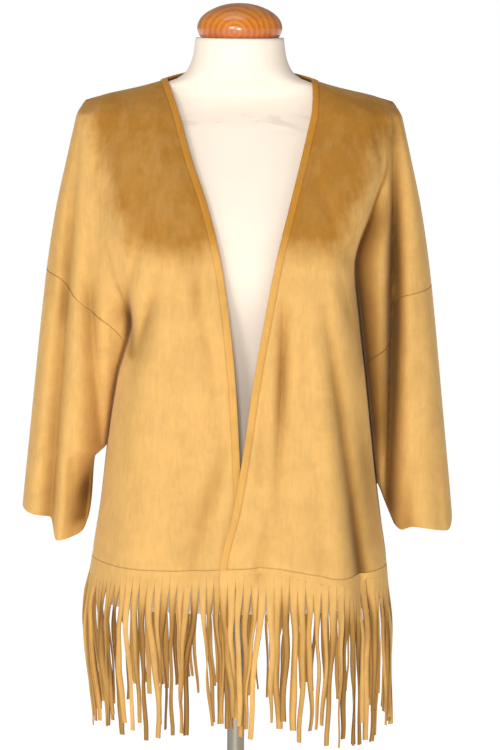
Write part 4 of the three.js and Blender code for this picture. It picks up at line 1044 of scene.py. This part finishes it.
def jersey(colour):
    """The form's stretched cream jersey: very fine knit ribs, soft unevenness and a faint line of painted
    shade.
    """
    material, net, shader = new_material("cream jersey")
    place = net.place()
    rib = net.add("Mapping", Vector=place, Scale=(1.0, 1.0, 0.3)).outputs[0]
    knit = net.noise(rib, 1600.0, 2.0)
    soft = unevenness(net, 9.0, 4.0, 0.3, 0.7, 0.965)
    shade = net.math("MULTIPLY", soft["Tone"], net.ramp(knit, 0.3, 0.7, 0.97, 1.0))
    # A faint line of painted shade round the neck base, broken by noise.
    stretched_place = net.add("Mapping", Vector=place, Scale=(0.5, 1.0, 1.6)).outputs[0]
    neck_shade_noise = net.noise(stretched_place, 42.0, 5.0, Distortion=0.8)
    height = net.add("SeparateXYZ", i0=place).outputs["Z"]
    away = net.math("ABSOLUTE", net.math("SUBTRACT", height, NECK_SHADE_Z))
    neck_shade = net.math("MULTIPLY", net.ramp(neck_shade_noise, 0.52, 0.66), net.ramp(away, 0.0, 0.022, 1.0, 0.0))
    shade = net.math("MULTIPLY", shade, net.math("MULTIPLY_ADD", neck_shade, -0.14, 1.0))
    net.tree.links.new(net.darken((*colour, 1), shade), shader.inputs["Base Color"])
    bump = net.add("Bump", Strength=0.2, Distance=0.0003, Height=knit)
    net.tree.links.new(bump.outputs[0], shader.inputs["Normal"])
    shader.inputs["Roughness"].default_value = 0.8
    shader.inputs["Sheen Weight"].default_value = 0.15
    return material


def varnished_wood(light, dark):
    """Turned wood under varnish: wavy grain with fine pores, darker at the rim, under a clear coat."""
    material, net, shader = new_material("varnished wood")
    place = net.place()
    laid = net.add("Mapping", Vector=place, Location=(0.006, 0.03, -1.71), Scale=(1.0, 0.25, 1.15)).outputs[0]
    grain = net.add("TexWave", {"wave_type": "RINGS", "rings_direction": "Y"}, Vector=laid, Scale=46.0)
    for key, value in (("Distortion", 2.2), ("Detail", 3.0), ("Detail Scale", 1.2)):
        grain.inputs[key].default_value = value
    pores = net.noise(laid, 300.0, 4.0)
    cloudy = net.noise(place, 28.0, 3.0)
    streak = net.math("MULTIPLY_ADD", grain.outputs["Fac"], 0.24, net.math("MULTIPLY", pores, 0.3))
    streak = net.math("MULTIPLY_ADD", cloudy, 0.62, streak)
    colour = net.blend((*light, 1), (*dark, 1), net.ramp(streak, 0.25, 0.95))
    rim = net.ramp(net.add("SeparateXYZ", i0=place).outputs["Z"], 1.482, 1.5, 0.55, 1.0)
    rim = net.add("CombineColor", i0=net.math("POWER", rim, 0.5), i1=rim, i2=rim).outputs[0]
    colour = net.blend(colour, rim, 1.0, "MULTIPLY")
    net.tree.links.new(colour, shader.inputs["Base Color"])
    bump = net.add("Bump", Strength=0.08, Distance=0.0004, Height=pores)
    net.tree.links.new(bump.outputs[0], shader.inputs["Normal"])
    shader.inputs["Roughness"].default_value = 0.32
    shader.inputs["Coat Weight"].default_value = 0.75
    shader.inputs["Coat IOR"].default_value = 1.38
    shader.inputs["Coat Roughness"].default_value = 0.06
    return material


def polished_metal(colour):
    """Polished plated tube: fine upright rubbing marks in a bright metal, painted shade towards its sides."""
    material, net, shader = new_material("polished metal")
    stretched_place = net.add("Mapping", Vector=net.place(), Scale=(1.0, 1.0, 0.05)).outputs[0]
    marks = net.noise(stretched_place, 700.0, 3.0)
    smudge = unevenness(net, 18.0, 4.0, 0.2, 0.8, 0.92)
    rough = net.ramp(smudge["Cloud"], 0.4, 0.8, 0.0, 0.12)
    rough = net.math("ADD", net.ramp(marks, 0.3, 0.7, 0.1, 0.2), rough)
    net.tree.links.new(rough, shader.inputs["Roughness"])
    # Painted shade: the colour darkens where the tube turns away from the view.
    facing = net.add("LayerWeight", Blend=0.45).outputs["Facing"]
    colour = net.darken((*colour, 1), smudge["Tone"])
    colour = net.darken(colour, net.ramp(facing, 0.25, 0.95, 1.0, 0.35))
    net.tree.links.new(colour, shader.inputs["Base Color"])
    shader.inputs["Metallic"].default_value = 1.0
    return material


def colour_choice(name, text, value):
    """A colour property with its name, description and default."""
    return FloatVectorProperty(
        name=name, description=text, subtype="COLOR", size=3, min=0, max=1, default=value
    )


class JacketSizes(bpy.types.PropertyGroup):
    """Thicknesses, strand counts and colours of the jacket."""

    cloth: FloatProperty(
        name="Cloth", description="Thickness of the cloth", default=0.0016, min=0.0005, unit="LENGTH"
    )
    band: FloatProperty(
        name="Band", description="Thickness of the edge band", default=0.0026, min=0.001, unit="LENGTH"
    )
    front_strands: IntProperty(
        name="Front strands", description="Strands under each front", default=34, min=8, max=60
    )
    back_strands: IntProperty(
        name="Back strands", description="Strands under the back", default=62, min=16, max=110
    )
    light: colour_choice("Nap", "Colour of the nap where it lies flat", (0.67, 0.39, 0.121))
    # The colour that the painted shade over the chest and upward faces takes.
    deep: colour_choice("Shaded nap", "Colour of the nap where it catches less light", (0.375, 0.163, 0.018))


class FormSizes(bpy.types.PropertyGroup):
    """Colours of the form and its stand."""

    cover: colour_choice("Cover", "Colour of the form's jersey", (0.92, 0.80, 0.67))
    wood: colour_choice("Wood", "Lighter colour of the neck cap", (0.80, 0.27, 0.022))
    metal: colour_choice("Metal", "Colour of the pole and base", (0.27, 0.245, 0.2))


class StudioSizes(bpy.types.PropertyGroup):
    """Place and lens of the camera, and the floor's colour."""

    distance: FloatProperty(
        name="Distance", description="From the camera to the form", default=4.0, min=1, unit="LENGTH"
    )
    height: FloatProperty(
        name="Height", description="Height of the camera", default=1.45, min=0.1, unit="LENGTH"
    )
    lens: FloatProperty(name="Lens", description="Focal length", default=153.6, min=10, unit="CAMERA")
    floor: colour_choice("Floor", "Colour of the floor", (0.9, 0.9, 0.9))


def cloth_material(name="suede"):
    """The jacket's suede, or the band's, which is a little deeper."""
    sizes = bpy.context.scene.jacket_sizes
    light, deep = np.array(sizes.light), np.array(sizes.deep)
    if name == "suede band":
        light, deep = light * BAND_LIGHT, deep * BAND_SHADED
    return suede(name, tuple(light), tuple(deep))


class JACKET_OT_fronts(bpy.types.Operator):
    """Make the two fronts"""

    bl_idname = "jacket.fronts"
    bl_label = "Fronts"

    def execute(self, context):
        thickness = context.scene.jacket_sizes.cloth * 1000
        for side in ("right", "left"):
            grid = front_grid(side)
            sink = seam_sink(grid[0], ("right", "top")) + seam_sink(grid[0], ("left", "bottom"), 0.45, 1.5)
            name = "front_" + side
            cloth = cloth_material()
            hang_sheet(name + "_cut", grid, thickness, -SIGN[side], cloth, name, sink)
        return {"FINISHED"}


class JACKET_OT_back(bpy.types.Operator):
    """Make the back"""

    bl_idname = "jacket.back"
    bl_label = "Back"

    def execute(self, context):
        thickness = context.scene.jacket_sizes.cloth * 1000
        grid = back_grid()
        sink = seam_sink(grid[0], ("left", "right", "top", "bottom"))
        hang_sheet("back_cut", grid, thickness, 1, cloth_material(), "back", sink)
        return {"FINISHED"}


class JACKET_OT_sleeves(bpy.types.Operator):
    """Make the two sleeves"""

    bl_idname = "jacket.sleeves"
    bl_label = "Sleeves"

    def execute(self, context):
        thickness = context.scene.jacket_sizes.cloth * 1000
        for side in ("right", "left"):
            grid = sleeve_grid(side)
            sink = seam_sink(grid[0], ("top",))
            name = "sleeve_" + side
            hang_sheet(name + "_cut", grid, thickness, -SIGN[side], cloth_material(), name, sink)
        return {"FINISHED"}


class JACKET_OT_band(bpy.types.Operator):
    """Make the edge band"""

    bl_idname = "jacket.band"
    bl_label = "Edge band"

    def execute(self, context):
        thickness = context.scene.jacket_sizes.band * 1000
        p = band_grid()
        n = -grid_normals(p)
        w = np.linspace(-1, 1, p.shape[1])
        p = p + n * (0.5 * (1 - w**4))[None, :, None]
        sink = np.repeat(0.5 * step_up(0.8, 1.0, w)[None, :], len(p), 0)
        grid = (p, grid_normals(p), np.zeros(p.shape[:2]))
        wall_piece("band_cut", grid, thickness, -1, cloth_material("suede band"), "band", sink)
        return {"FINISHED"}


class JACKET_OT_fringes(bpy.types.Operator):
    """Make the fringes under the fronts and the back"""

    bl_idname = "jacket.fringes"
    bl_label = "Fringes"

    def execute(self, context):
        sizes = context.scene.jacket_sizes
        thickness = sizes.cloth * 1000
        for side, seed in (("right", 5), ("left", 12)):
            parts = [(side, EDGE, CREASE)]
            name = "fringe_front_" + side + "_cut"
            hang_fringe(name, parts, sizes.front_strands, seed, cloth_material(), thickness, -SIGN[side])
        parts = [("right", BACK_CREASE, CENTRE), ("left", CENTRE, BACK_CREASE)]
        hang_fringe("fringe_back_cut", parts, sizes.back_strands, 31, cloth_material(), thickness, -1)
        return {"FINISHED"}


class JACKET_OT_form(bpy.types.Operator):
    """Make the covered form and its neck cap"""

    bl_idname = "jacket.form"
    bl_label = "Dress form"

    def execute(self, context):
        sizes = context.scene.form_sizes
        rows = np.array(FORM["z"], float)
        z = np.unique(np.concatenate([np.linspace(rows[0], rows[-1], 170), rows]))
        rings = form_rings(z, 96)
        underside = [rings[:1] * [0.9, 0.9, 1], rings[:1] * [0.985, 0.985, 1]]
        rings = np.concatenate([*underside, rings])
        closed_rings("form_cover", rings, jersey(sizes.cover), "form_torso")
        up, radius = np.array(NECK_CAP).T[:, :, None]
        turn = np.linspace(0, 2 * np.pi, 96, endpoint=False)
        x, y = radius * np.cos(turn), radius * np.sin(turn)
        cap = np.stack([x, y + NECK_TOP_Y - CAP_TILT * up, NECK_TOP_Z + up + CAP_TILT * y], -1)
        wood = tuple(sizes.wood)
        dark = tuple(np.array(wood) * WOOD_GRAIN)
        closed_rings("turned_cap", cap, varnished_wood(wood, dark), "neck_cap")
        return {"FINISHED"}


class JACKET_OT_stand(bpy.types.Operator):
    """Make the pole, its collar and the base"""

    bl_idname = "jacket.stand"
    bl_label = "Stand"

    def execute(self, context):
        metal = polished_metal(context.scene.form_sizes.metal)
        closed_rings("pole_tube", turned_rings(POLE, 64), metal, "stand_pole")
        closed_rings("pole_collar", turned_rings(COLLAR, 64), metal, "stand_collar")
        closed_rings("base_disc", turned_rings(BASE, 128), metal, "stand_base")
        return {"FINISHED"}


# Lights: name, place in metres, power in watts, width in metres and colour.
LIGHTS = (
    ("key", (-1.4, -3.6, 1.9), 42, 0.8, (1, 0.985, 0.96)),
    ("front", (-0.15, -4.2, 1.3), 66, 0.5, (1, 0.99, 0.97)),
    ("top", (-0.4, -0.4, 3.6), 12, 1.6, (1, 1, 1)),
)
LIT_Z = 1.12
HALF_FLOOR = 60
# The camera's place to the side, the height that it looks at from straight ahead, and its roll.
CAMERA_X = 0.013
AIM_Z = 1.0588
CAMERA_ROLL = math.radians(-0.35)


def make_floor(scene, colour):
    """A pale square floor with a little light of its own, kept out of the part."""
    h = HALF_FLOOR
    mesh = bpy.data.meshes.new("studio_floor")
    mesh.from_pydata([(-h, -h, 0), (h, -h, 0), (h, h, 0), (-h, h, 0)], [], [(0, 1, 2, 3)])
    material, net, shader = new_material("pale floor")
    dust = unevenness(net, 3.0, 3.0, 0.2, 0.8, 0.985)
    net.tree.links.new(net.darken((*colour, 1), dust["Tone"]), shader.inputs["Base Color"])
    shader.inputs["Roughness"].default_value = 0.9
    shader.inputs["Emission Color"].default_value = (1, 1, 1, 1)
    shader.inputs["Emission Strength"].default_value = 0.8
    mesh.materials.append(material)
    floor = bpy.data.objects.new("studio_floor", mesh)
    scene.collection.objects.link(floor)


def make_world(scene):
    """A white surround that is seen at full strength and lights the part at about a quarter."""
    world = bpy.data.worlds.new("studio")
    world.use_nodes = True
    scene.world = world
    background = world.node_tree.nodes["Background"]
    background.inputs["Color"].default_value = (1, 1, 1, 1)
    sky = Net(world.node_tree)
    seen = sky.add("LightPath").outputs["Is Camera Ray"]
    world.node_tree.links.new(sky.ramp(seen, 0.0, 1.0, 0.24, 1.0), background.inputs["Strength"])


def make_lights(scene):
    """The area lights, each turned to the lit point on the middle line."""
    for name, place, power, width, colour in LIGHTS:
        light = bpy.data.lights.new(name, "AREA")
        light.energy, light.size, light.color = power, width, colour
        lamp = bpy.data.objects.new(name, light)
        lamp.location = place
        lamp.rotation_euler = (Vector((0, 0, LIT_Z)) - lamp.location).to_track_quat("-Z", "Y").to_euler()
        scene.collection.objects.link(lamp)


def make_camera(scene, sizes):
    """The camera in front of the form, tilted down by the angle to the height that it looks at."""
    camera = bpy.data.cameras.new("camera")
    camera.lens, camera.sensor_width, camera.sensor_fit = sizes.lens, 36.0, "AUTO"
    view = bpy.data.objects.new("camera", camera)
    view.location = (CAMERA_X, -sizes.distance, sizes.height)
    down = math.atan2(sizes.height - AIM_Z, sizes.distance)
    view.rotation_euler = (math.pi / 2 - down, CAMERA_ROLL, 0)
    scene.collection.objects.link(view)
    scene.camera = view


class JACKET_OT_studio(bpy.types.Operator):
    """Make the floor, the lights and the camera"""

    bl_idname = "jacket.studio"
    bl_label = "Studio"

    def execute(self, context):
        scene = context.scene
        sizes = scene.studio_sizes
        make_floor(scene, sizes.floor)
        make_world(scene)
        make_lights(scene)
        make_camera(scene, sizes)
        scene.view_settings.view_transform = "Standard"
        return {"FINISHED"}


class JACKET_PT_sidebar(bpy.types.Panel):
    """The sidebar with every size, colour and operator"""

    bl_label = "Fringed jacket"
    bl_idname = "JACKET_PT_sidebar"
    bl_space_type = "VIEW_3D"
    bl_region_type = "UI"
    bl_category = "Jacket"

    def draw(self, context):
        layout = self.layout
        scene = context.scene
        for group in (scene.jacket_sizes, scene.form_sizes, scene.studio_sizes):
            box = layout.box()
            for key in group.__annotations__:
                box.prop(group, key)
        for operator in OPERATORS:
            layout.operator(operator.bl_idname)


OPERATORS = (
    JACKET_OT_studio,
    JACKET_OT_form,
    JACKET_OT_stand,
    JACKET_OT_band,
    JACKET_OT_fringes,
    JACKET_OT_fronts,
    JACKET_OT_back,
    JACKET_OT_sleeves,
)
GROUPS = {"jacket_sizes": JacketSizes, "form_sizes": FormSizes, "studio_sizes": StudioSizes}


def register():
    """Adds the classes and their settings to the scene."""
    for item in (*GROUPS.values(), *OPERATORS, JACKET_PT_sidebar):
        bpy.utils.register_class(item)
    for key, group in GROUPS.items():
        setattr(bpy.types.Scene, key, PointerProperty(type=group))


def unregister():
    """Takes the settings and the classes away again."""
    for key in GROUPS:
        delattr(bpy.types.Scene, key)
    for item in reversed((*GROUPS.values(), *OPERATORS, JACKET_PT_sidebar)):
        bpy.utils.unregister_class(item)


def main():
    """Makes the studio and every piece."""
    register()
    bpy.ops.jacket.studio()
    bpy.ops.jacket.form()
    bpy.ops.jacket.stand()
    bpy.ops.jacket.band()
    bpy.ops.jacket.fringes()
    bpy.ops.jacket.fronts()
    bpy.ops.jacket.back()
    bpy.ops.jacket.sleeves()


if __name__ == "__main__":
    main()
